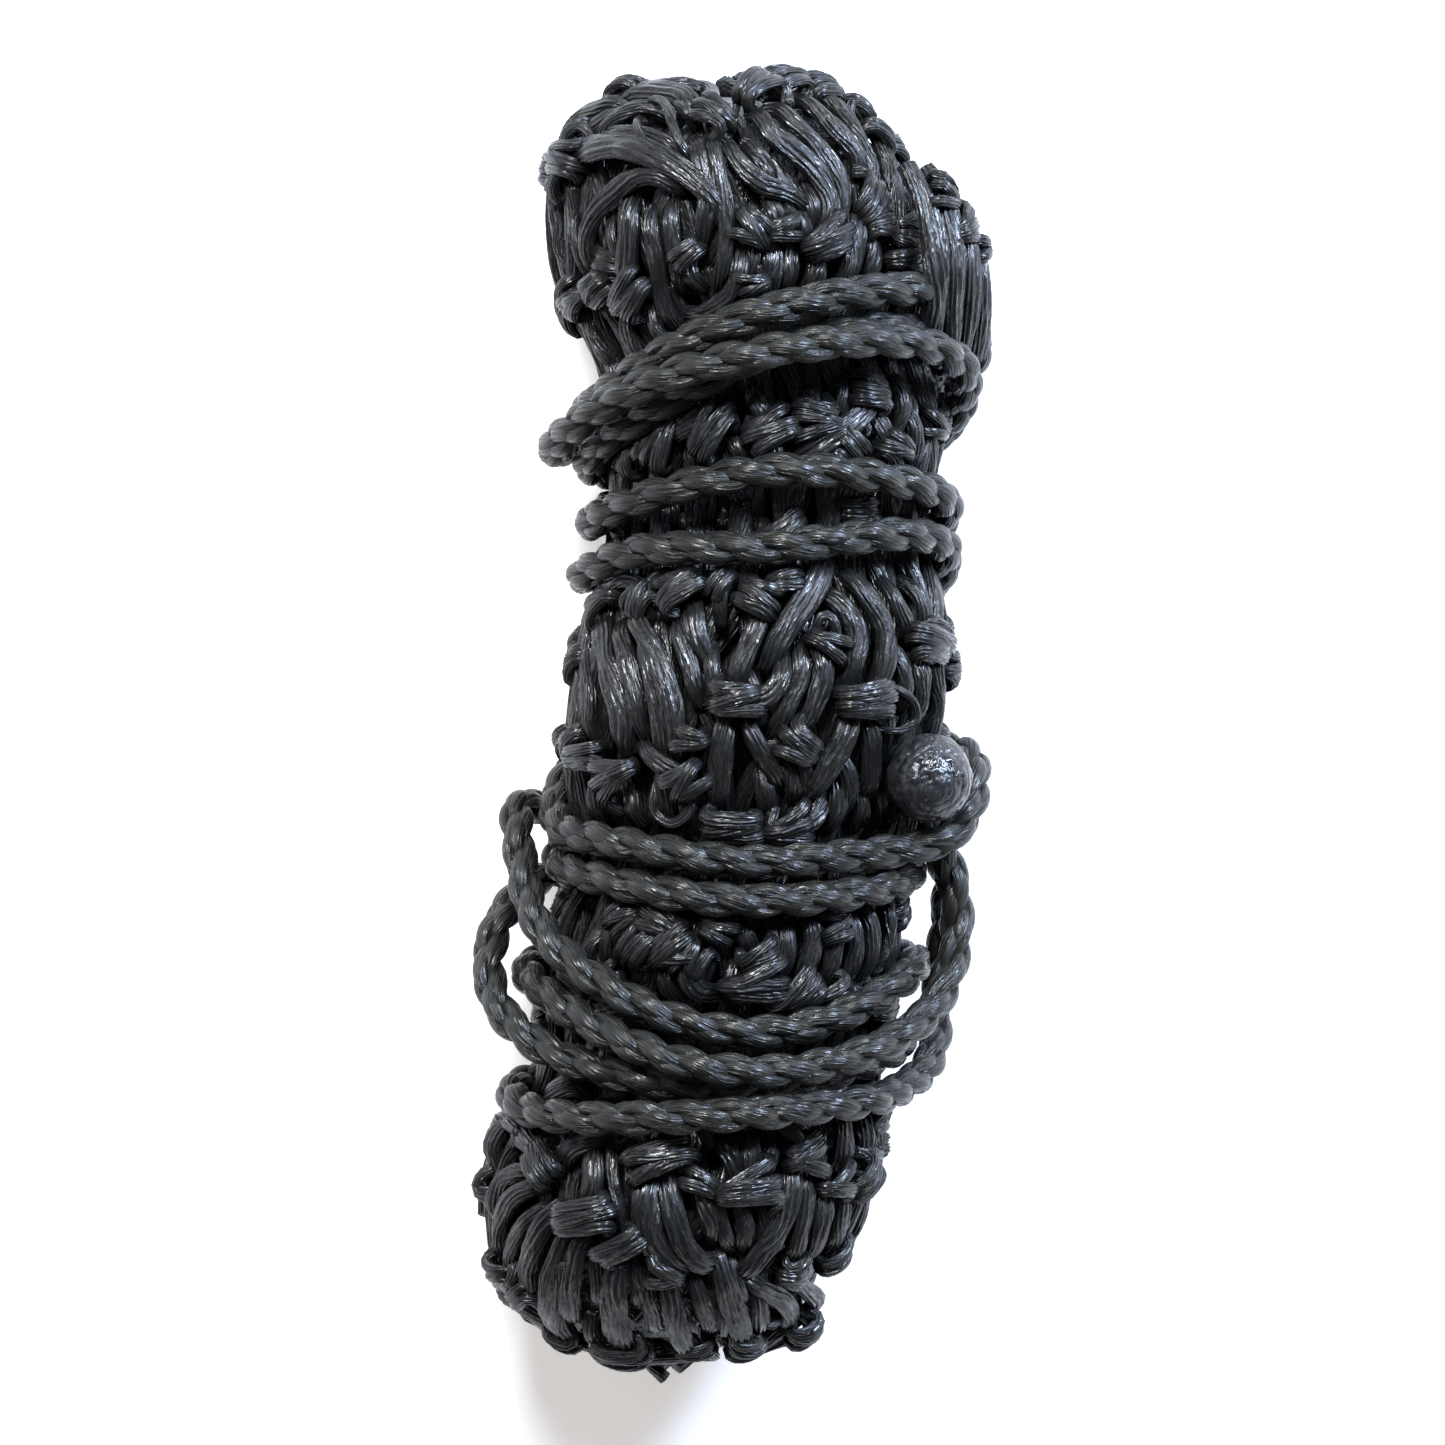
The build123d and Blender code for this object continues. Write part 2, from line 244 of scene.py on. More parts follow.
# The strands seen on the roll's front: width against the usual one, lift off the roll, then x and y places.
front_strands = [
    # head fold
    (0.7, -0.0004, [(-0.0099, 0.1095), (-0.0094, 0.1137), (-0.0075, 0.1144), (-0.005, 0.1143),
        (-0.004, 0.1132), (-0.0039, 0.11), (-0.004, 0.107)]),
    (0.6, 0.0004, [(-0.0102, 0.113), (-0.0096, 0.1095), (-0.008, 0.1078), (-0.0065, 0.1065)]),
    (0.75, 0.0009, [(-0.0045, 0.1043), (-0.0033, 0.099), (-0.0018, 0.093),
        (-0.0012, 0.087), (-0.0018, 0.081), (-0.0032, 0.0757)]),
    (1, 0.0004, [(-0.0069, 0.1037), (-0.0057, 0.0978), (-0.0046, 0.093),
        (-0.0051, 0.0882), (-0.006, 0.0842)]),
    (1.25, 0.0012, [(-0.032, 0.1002), (-0.026, 0.1016), (-0.02, 0.1016), (-0.014, 0.0998),
        (-0.0087, 0.0966), (-0.0044, 0.0926), (-0.002, 0.088)]),
    (0.9, 0.0002, [(-0.026, 0.104), (-0.02, 0.1044), (-0.014, 0.1028), (-0.009, 0.0998)]),
    (1, 0.0008, [(-0.0262, 0.0799), (-0.0262, 0.0858), (-0.0248, 0.0898), (-0.0218, 0.0932),
        (-0.0184, 0.0956), (-0.0142, 0.096), (-0.0096, 0.094)]),
    (1, 0, [(-0.033, 0.0982), (-0.0332, 0.0918), (-0.0322, 0.0858), (-0.0306, 0.0799)]),
    (0.5, 0.0002, [(-0.0299, 0.0924), (-0.0288, 0.0858), (-0.0274, 0.0784)]),
    (0.9, 0.0006, [(-0.0325, 0.0996), (-0.0346, 0.0976), (-0.0347, 0.094),
        (-0.0342, 0.0894), (-0.0334, 0.086)]),
    (1, 0.0002, [(-0.0334, 0.101), (-0.0316, 0.1061), (-0.0278, 0.1091),
        (-0.023, 0.1106), (-0.0184, 0.1116)]),
    (0.8, -0.0006, [(-0.0296, 0.1012), (-0.0268, 0.1058), (-0.0232, 0.1086), (-0.019, 0.1105)]),
    (0.9, 0.0006, [(-0.0256, 0.1032), (-0.0218, 0.1067), (-0.0176, 0.109), (-0.0123, 0.1097)]),
    (1.3, 0.0004, [(-0.021, 0.112), (-0.0147, 0.1124), (-0.0099, 0.1113), (-0.0066, 0.1088)]),
    (1.1, 0, [(-0.0196, 0.1134), (-0.0135, 0.1139), (-0.0087, 0.1141), (-0.005, 0.1143)]),
    (0.42, 0.0018, [(-0.017, 0.1085), (-0.0167, 0.1043), (-0.0138, 0.1002),
        (-0.0095, 0.0974), (-0.007, 0.094)]),
    (0.42, 0.0018, [(-0.017, 0.1085), (-0.0147, 0.11), (-0.0119, 0.1085),
        (-0.0106, 0.1049), (-0.0089, 0.101), (-0.0072, 0.0984)]),
    (0.9, 0.0006, [(-0.0018, 0.103), (0.0009, 0.0984), (0.0044, 0.0949),
        (0.0096, 0.0928), (0.0138, 0.0908)]),
    (1.05, 0.0006, [(0.0034, 0.1098), (0.0064, 0.1039), (0.0106, 0.1006), (0.0144, 0.0973),
        (0.0166, 0.093), (0.0169, 0.089), (0.016, 0.085)]),
    (0.9, 0.0009, [(0.0064, 0.1106), (0.0106, 0.1057), (0.0146, 0.1016),
        (0.018, 0.0966), (0.0192, 0.0918), (0.0187, 0.0876)]),
    (1, 0.0002, [(0.0104, 0.113), (0.0146, 0.1092), (0.0188, 0.1049), (0.022, 0.1009), (0.0238, 0.0966)]),
    (1, 0.0002, [(0.0154, 0.1132), (0.0196, 0.1093), (0.0226, 0.104), (0.0249, 0.099), (0.0255, 0.0948)]),
    (1.05, 0, [(0.0236, 0.11), (0.027, 0.1039), (0.0288, 0.0976), (0.0296, 0.0918), (0.0296, 0.0858)]),
    (0.9, 0, [(0.0284, 0.1043), (0.032, 0.099), (0.0336, 0.0942), (0.0338, 0.0884)]),
    (0.8, -0.0003, [(0.0022, 0.103), (0.0048, 0.0996), (0.0074, 0.096)]),
    (0.6, 0.0002, [(0.0044, 0.1006), (0.0058, 0.097), (0.0074, 0.0936)]),
    (0.9, 0, [(0.0114, 0.0908), (0.0128, 0.087), (0.0142, 0.0838)]),
    (0.8, 0, [(0.0136, 0.0946), (0.0144, 0.091), (0.0146, 0.087)]),
    (0.9, 0, [(0.0066, 0.0926), (0.0076, 0.089), (0.0082, 0.086)]),
    (1, 0, [(0.007, 0.0844), (0.0068, 0.0794), (0.006, 0.074)]),
    (0.8, 0.0001, [(0.0104, 0.0844), (0.01, 0.0794), (0.0094, 0.0749)]),
    (1, 0, [(0.0158, 0.0828), (0.0144, 0.078), (0.0134, 0.0745)]),
    (1.2, 0.0002, [(0.0222, 0.091), (0.0216, 0.0846), (0.0206, 0.0799), (0.0192, 0.0758)]),
    (0.9, 0, [(0.0254, 0.088), (0.025, 0.0816), (0.0245, 0.0765)]),
    (0.9, 0, [(0.03, 0.0834), (0.0292, 0.0784), (0.0286, 0.075)]),
    (0.9, 0, [(0.0332, 0.083), (0.033, 0.0784), (0.0324, 0.075)]),
    (1.1, 0.0002, [(-0.0194, 0.093), (-0.0188, 0.087), (-0.0192, 0.0811), (-0.019, 0.0753)]),
    (0.8, 0, [(-0.0156, 0.0906), (-0.0145, 0.0844), (-0.0136, 0.0787),
        (-0.0125, 0.0727), (-0.0105, 0.0685)]),
    (0.6, 0.0001, [(-0.023, 0.0904), (-0.022, 0.0846), (-0.0206, 0.0804)]),
    (0.8, -0.0004, [(-0.0116, 0.092), (-0.0114, 0.086), (-0.0104, 0.08), (-0.0099, 0.075)]),
    (0.9, 0, [(-0.0278, 0.074), (-0.025, 0.0678), (-0.0224, 0.0626)]),
    (0.9, 0.0002, [(-0.0206, 0.0726), (-0.018, 0.0668), (-0.0155, 0.0628)]),
    (0.9, 0, [(-0.0304, 0.0785), (-0.0286, 0.0733), (-0.0262, 0.068)]),
    (0.8, 0, [(-0.0162, 0.0733), (-0.0139, 0.069), (-0.0113, 0.0655)]),
    (0.85, 0.0009, [(0.0012, 0.0832), (0.0009, 0.0787), (-0.0012, 0.0749),
        (-0.0046, 0.0724), (-0.0089, 0.0713)]),
    (0.8, 0, [(-0.0089, 0.0822), (-0.0078, 0.0784), (-0.0058, 0.0752)]),
    (0.8, -0.0004, [(0.0036, 0.0854), (0.0034, 0.0806), (0.0026, 0.076)]),
    # upper lap
    (1, 0, [(-0.0124, 0.054), (-0.0132, 0.05), (-0.0138, 0.045)]),
    (1.1, 0.0008, [(-0.006, 0.0478), (-0.0039, 0.0515), (-0.0012, 0.0554)]),
    (0.8, 0, [(-0.001, 0.0514), (0.0005, 0.0486), (0.0016, 0.045)]),
    (0.9, 0, [(0.0028, 0.059), (0.0046, 0.055), (0.0062, 0.052)]),
    (0.9, 0, [(0.0064, 0.05), (0.0076, 0.046)]),
    (1.1, 0, [(0.0136, 0.0588), (0.0142, 0.0556), (0.0148, 0.0526)]),
    (1.2, 0.0009, [(0.0254, 0.0576), (0.0218, 0.0537), (0.017, 0.0502), (0.0116, 0.0464)]),
    (0.9, 0.0004, [(0.0253, 0.056), (0.027, 0.0514), (0.0286, 0.047)]),
    (0.8, 0, [(-0.0188, 0.049), (-0.0186, 0.043)]),
    (0.9, 0, [(-0.015, 0.046), (-0.0146, 0.042)]),
    (0.9, 0, [(-0.0081, 0.05), (-0.0075, 0.044)]),
    (1, 0, [(0.032, 0.057), (0.033, 0.051), (0.0332, 0.045)]),
    (1, 0, [(0.0298, 0.062), (0.0306, 0.057), (0.0304, 0.052)]),
    (0.9, 0, [(0.0204, 0.062), (0.0196, 0.057), (0.0186, 0.053)]),
    # middle lap
    (0.9, 0, [(-0.0264, 0.0218), (-0.027, 0.013), (-0.0266, 0.0043), (-0.0262, -0.004)]),
    (0.8, 0.0009, [(-0.0262, 0.0178), (-0.0246, 0.0226), (-0.0204, 0.0252), (-0.0153, 0.0248)]),
    (1.2, 0.0002, [(-0.0244, 0.0206), (-0.0234, 0.0136), (-0.0218, 0.007),
        (-0.0202, 0.0013), (-0.0198, -0.006)]),
    (1, 0, [(-0.0216, 0.0184), (-0.0192, 0.0108), (-0.0176, 0.0043), (-0.017, -0.003)]),
    (1.1, 0.0006, [(-0.0188, 0.0208), (-0.0159, 0.0154), (-0.0132, 0.0103),
        (-0.0113, 0.0043), (-0.0102, -0.0016), (-0.0097, -0.0074)]),
    (0.9, 0.0002, [(-0.0168, 0.0163), (-0.0152, 0.0091), (-0.014, 0.0031),
        (-0.013, -0.0022), (-0.0123, -0.0074)]),
    (0.8, 0.0008, [(-0.0162, 0.0184), (-0.0155, 0.0228), (-0.0132, 0.026), (-0.0099, 0.0272)]),
    (1.1, 0.0009, [(-0.0127, 0.0214), (-0.009, 0.0244), (-0.0043, 0.0262)]),
    (1.1, 0.0003, [(-0.0077, 0.022), (-0.0069, 0.0163), (-0.0051, 0.0105)]),
    (0.9, 0, [(-0.0106, 0.0194), (-0.0091, 0.0137), (-0.0075, 0.0081), (-0.0066, 0.0026)]),
    (0.8, 0.0006, [(-0.0007, 0.0266), (-0.0024, 0.0226), (-0.0029, 0.0175)]),
    (1, 0, [(0.0021, 0.0284), (0.0029, 0.0234), (0.005, 0.02)]),
    (1.1, 0.0003, [(0.0054, 0.0204), (0.0032, 0.015), (0.0013, 0.0103), (-0.0001, 0.0045)]),
    (1.25, 0.001, [(0.0166, 0.0292), (0.014, 0.0236), (0.0106, 0.0186),
        (0.0076, 0.0142), (0.0058, 0.0096)]),
    (1.05, 0.0005, [(0.0162, 0.024), (0.0196, 0.02), (0.0216, 0.016), (0.0214, 0.0109), (0.0204, 0.0056)]),
    (1.15, 0.0006, [(0.0202, 0.0274), (0.0236, 0.0222), (0.0264, 0.0172),
        (0.027, 0.0125), (0.0257, 0.0056)]),
    (0.9, 0.0002, [(0.0275, 0.0266), (0.0293, 0.021), (0.0329, 0.0152)]),
    (0.9, 0.0002, [(0.0315, 0.0266), (0.0341, 0.021), (0.0353, 0.0154)]),
    (1, 0, [(0.034, 0.0124), (0.0341, 0.0055), (0.0335, -0.0007)]),
    (0.9, 0, [(0.0364, 0.0124), (0.037, 0.0043), (0.0364, -0.0024)]),
    (0.9, 0, [(0.0296, 0.0135), (0.0311, 0.0066), (0.0313, 0.0017)]),
    (0.9, 0.0002, [(0.0118, 0.014), (0.0118, 0.008), (0.0094, 0.0031), (0.0072, -0.0026)]),
    (1, 0.0004, [(0.0152, 0.0142), (0.0159, 0.0084), (0.0142, 0.0031), (0.0118, -0.002)]),
    (0.45, 0.0016, [(0.0146, 0.0144), (0.0149, 0.0182), (0.0167, 0.0186), (0.018, 0.015), (0.0174, 0.012)]),
    (1, 0.0015, [(-0.005, 0.0033), (0.0003, 0.0053), (0.0048, 0.0043), (0.008, 0.0071), (0.0089, 0.0116)]),
    (0.42, 0.0016, [(0.0275, 0.007), (0.031, 0.0042), (0.0319, 0.0012),
        (0.0306, -0.0012), (0.027, -0.0019)]),
    (1.05, 0.0002, [(-0.0016, 0.0017), (-0.0022, -0.0046), (-0.0028, -0.0106), (-0.0028, -0.016)]),
    (0.9, 0.0004, [(0.0017, 0.0011), (0.0042, -0.004), (0.0068, -0.0084), (0.0084, -0.0122)]),
    (0.8, 0, [(0.0087, -0.0062), (0.0104, -0.0106), (0.0112, -0.015)]),
    (0.8, 0.0002, [(0.012, -0.005), (0.0128, -0.01), (0.0129, -0.015)]),
    (1.2, 0.0008, [(0.0214, 0.0022), (0.0189, -0.004), (0.0159, -0.0088), (0.013, -0.014)]),
    (1, 0.0002, [(0.024, 0.0017), (0.0246, -0.0046), (0.0246, -0.0106), (0.0239, -0.0146)]),
    (0.9, 0, [(0.0196, -0.0064), (0.0207, -0.0106), (0.0204, -0.017)]),
    (0.9, 0.001, [(-0.0174, -0.0042), (-0.0139, -0.0066), (-0.0099, -0.0088), (-0.0065, -0.0104)]),
    (0.9, 0, [(-0.0262, -0.0095), (-0.0252, -0.015), (-0.0244, -0.019)]),
    (0.9, 0, [(-0.0196, -0.0123), (-0.0172, -0.0188)]),
    (0.8, 0, [(-0.0222, -0.0135), (-0.0206, -0.019)]),
    (0.5, 0.0012, [(-0.0143, -0.0106), (-0.0139, -0.0158), (-0.0107, -0.0178),
        (-0.0079, -0.0154), (-0.0077, -0.012)]),
    (0.9, 0, [(-0.0089, -0.012), (-0.0076, -0.0196)]),
    (0.9, 0, [(0.0048, -0.009), (0.0056, -0.0125), (0.0064, -0.017)]),
    (1, 0.0002, [(0.0198, -0.0105), (0.0186, -0.015), (0.0172, -0.02)]),
    (0.9, 0, [(0.0236, -0.0125), (0.0229, -0.02)]),
    (1, 0.0009, [(0.0033, -0.019), (0.0089, -0.0196), (0.0138, -0.0173), (0.0168, -0.0139)]),
    (0.9, 0, [(-0.0046, 0.014), (-0.0038, 0.008), (-0.0033, 0.003)]),
    (0.8, -0.0004, [(0.0016, 0.01), (0.0036, 0.005), (0.0049, -0.001)]),
    (0.9, -0.0002, [(-0.0134, -0.007), (-0.0123, -0.013), (-0.0116, -0.019)]),
    # lower lap
    (0.8, 0, [(-0.0132, -0.033), (-0.0124, -0.0365), (-0.0112, -0.04)]),
    (0.9, 0.0004, [(-0.015, -0.0364), (-0.0182, -0.0392), (-0.0172, -0.043)]),
    (0.9, 0, [(-0.0069, -0.033), (-0.0069, -0.041)]),
    (0.9, 0.0002, [(-0.0034, -0.0346), (-0.0022, -0.041)]),
    (0.9, 0.0004, [(0.0001, -0.034), (0.002, -0.0378), (0.0041, -0.0414)]),
    (1.1, 0.0009, [(-0.0049, -0.0408), (-0.0077, -0.0436), (-0.0066, -0.047), (-0.003, -0.0486)]),
    (0.9, 0, [(0.0068, -0.0342), (0.0075, -0.04), (0.0069, -0.044)]),
    (0.9, 0.0002, [(0.0099, -0.0342), (0.0094, -0.0402), (0.0081, -0.0462)]),
    (1, 0.0002, [(0.0139, -0.033), (0.0141, -0.0396), (0.0122, -0.0462)]),
    (0.9, 0, [(0.0186, -0.0334), (0.0182, -0.0402), (0.0169, -0.0468)]),
    (0.9, 0, [(0.0215, -0.033), (0.022, -0.04), (0.0208, -0.047)]),
    (1, 0, [(0.0246, -0.032), (0.0252, -0.0396), (0.0242, -0.046)]),
    (0.9, 0, [(0.0282, -0.031), (0.0286, -0.0376), (0.0272, -0.045)]),
    (0.9, 0, [(-0.02, -0.033), (-0.0224, -0.038), (-0.0236, -0.044)]),
    (0.8, 0, [(-0.0248, -0.036), (-0.0269, -0.042), (-0.0276, -0.048)]),
    (0.8, 0, [(-0.013, -0.042), (-0.0124, -0.046), (-0.011, -0.05)]),
    (0.9, 0, [(0.0005, -0.042), (-0.0002, -0.047), (0.001, -0.052)]),
    (0.8, 0, [(-0.0298, -0.044), (-0.0302, -0.05), (-0.0294, -0.057)]),
    # foot fold
    (1.1, 0.0022, [(-0.038, -0.068), (-0.043, -0.0672), (-0.045, -0.071),
        (-0.0448, -0.076), (-0.0436, -0.08)]),
    (0.85, 0.0022, [(-0.0445, -0.0794), (-0.0466, -0.0812), (-0.0462, -0.0842), (-0.0438, -0.0854)]),
    (1, 0.001, [(-0.0422, -0.0693), (-0.0386, -0.0726), (-0.0353, -0.0759), (-0.0316, -0.079)]),
    (1.2, 0.0008, [(-0.0324, -0.0782), (-0.0281, -0.0752), (-0.0238, -0.0727), (-0.02, -0.07)]),
    (0.9, 0.0006, [(-0.0356, -0.079), (-0.0408, -0.0812), (-0.0432, -0.0858), (-0.0436, -0.09)]),
    (1, 0.0006, [(-0.0344, -0.0816), (-0.0392, -0.0843), (-0.0416, -0.088),
        (-0.0422, -0.0922), (-0.042, -0.097)]),
    (0.9, 0, [(-0.0349, -0.0859), (-0.0384, -0.0902), (-0.0404, -0.0946), (-0.0408, -0.099)]),
    (1.1, 0.0002, [(-0.0317, -0.0852), (-0.0351, -0.0913), (-0.0369, -0.0968), (-0.0374, -0.102)]),
    (1.15, 0.0006, [(-0.0252, -0.0734), (-0.0248, -0.0804), (-0.0258, -0.086)]),
    (0.65, 0.0004, [(-0.022, -0.0717), (-0.0215, -0.0792), (-0.0204, -0.0847), (-0.0193, -0.0906)]),
    (0.9, 0.0002, [(-0.0187, -0.0733), (-0.0178, -0.0798), (-0.0176, -0.0856)]),
    (1.35, 0.0009, [(-0.029, -0.0887), (-0.0312, -0.0957), (-0.0322, -0.1012),
        (-0.0323, -0.1062), (-0.0309, -0.11)]),
    (1.1, 0.0009, [(-0.0262, -0.0887), (-0.0282, -0.0958), (-0.0292, -0.1023), (-0.0293, -0.1078)]),
    (1.3, 0.0008, [(-0.0204, -0.0937), (-0.0213, -0.1012), (-0.0209, -0.1067),
        (-0.0196, -0.1113), (-0.0182, -0.1132)]),
    (0.8, 0.0002, [(-0.0177, -0.0942), (-0.0169, -0.1007), (-0.0167, -0.105)]),
    (0.7, 0, [(-0.0248, -0.092), (-0.0245, -0.099), (-0.0241, -0.1054)]),
    (1.1, 0.0004, [(-0.0143, -0.0758), (-0.012, -0.0726), (-0.0095, -0.0705)]),
    (1.35, 0.0008, [(-0.0145, -0.0786), (-0.0154, -0.0847), (-0.0147, -0.0902),
        (-0.0119, -0.0948), (-0.0082, -0.0974)]),
    (1.2, 0.0009, [(-0.0119, -0.0788), (-0.0108, -0.0858), (-0.0092, -0.0913),
        (-0.0059, -0.0952), (-0.0029, -0.0964)]),
    (0.9, 0.0002, [(-0.0059, -0.081), (-0.0044, -0.087), (-0.0029, -0.092)]),
    (0.8, 0, [(-0.0031, -0.082), (-0.0019, -0.0886), (0, -0.094)]),
    (1.1, 0.0004, [(-0.0032, -0.0706), (-0.0006, -0.076), (0.0014, -0.081)]),
    (1.1, 0.0006, [(0.0021, -0.0696), (0.0026, -0.0759), (0.0025, -0.081)]),
    (1.1, 0.0004, [(0.007, -0.0717), (0.0062, -0.0765), (0.0041, -0.0818)]),
    (0.9, 0.0002, [(0.0008, -0.0827), (0.0019, -0.088), (0.0027, -0.0944)]),
    (0.8, 0, [(0.0046, -0.083), (0.0056, -0.088), (0.005, -0.094)]),
    (1.1, 0.0004, [(0.0108, -0.0694), (0.0122, -0.074), (0.0122, -0.0786)]),
    (1, 0.0002, [(0.0154, -0.0698), (0.0148, -0.0746), (0.0134, -0.0794)]),
    (1.15, 0.0009, [(0.0112, -0.0776), (0.0097, -0.0847), (0.0069, -0.0906),
        (0.0035, -0.0956), (0.0014, -0.099)]),
    (1.1, 0.0004, [(0.0135, -0.0786), (0.0129, -0.0847), (0.0116, -0.0908), (0.0106, -0.097)]),
    (1.15, 0.0006, [(0.017, -0.0824), (0.0153, -0.089), (0.0146, -0.096)]),
    (1.15, 0.0004, [(0.0204, -0.083), (0.0191, -0.0894), (0.0178, -0.096)]),
    (1.1, 0.0002, [(0.0239, -0.0827), (0.0231, -0.0892), (0.0212, -0.0955)]),
    (0.9, 0, [(0.0257, -0.0782), (0.0256, -0.0847), (0.024, -0.09)]),
    (1.2, 0.0004, [(0.0185, -0.0677), (0.0197, -0.0737), (0.0198, -0.08)]),
    (1.1, 0.0002, [(0.0228, -0.0672), (0.0238, -0.0737), (0.0232, -0.08)]),
    (0.9, 0, [(0.0262, -0.068), (0.0269, -0.074), (0.0264, -0.08)]),
    (1.1, 0.0008, [(-0.0123, -0.0974), (-0.0107, -0.1044), (-0.009, -0.1102), (-0.0074, -0.1137)]),
    (1.1, 0.0008, [(-0.0026, -0.0948), (-0.0009, -0.1018), (0.0011, -0.1074), (0.002, -0.1122)]),
    (0.7, 0.0002, [(-0.0001, -0.096), (0.0011, -0.101), (0.0024, -0.105)]),
    (1.1, -0.0004, [(0.0018, -0.0986), (0.006, -0.1012), (0.0098, -0.1042), (0.0118, -0.109)]),
    (1, 0, [(0.0093, -0.0975), (0.0128, -0.1013), (0.0149, -0.1052)]),
    (0.6, 0.001, [(-0.0083, -0.112), (-0.0048, -0.1125), (-0.0036, -0.1135), (-0.0064, -0.1143)]),
    (0.35, 0.0012, [(0.0042, -0.1086), (0.0066, -0.1078), (0.0094, -0.1071)]),
    (0.9, 0, [(-0.0154, -0.097), (-0.0149, -0.103), (-0.0139, -0.11)]),
    (0.9, 0, [(-0.0069, -0.0986), (-0.0052, -0.1042), (-0.0037, -0.11)]),
    (0.9, 0, [(0.0042, -0.1), (0.0048, -0.1046), (0.0052, -0.1106)]),
    (0.9, 0, [(-0.0266, -0.107), (-0.025, -0.111), (-0.0224, -0.1132)]),
    (0.8, 0.0008, [(0.0132, -0.106), (0.0152, -0.1094), (0.0146, -0.1122), (0.0124, -0.1116)]),
]

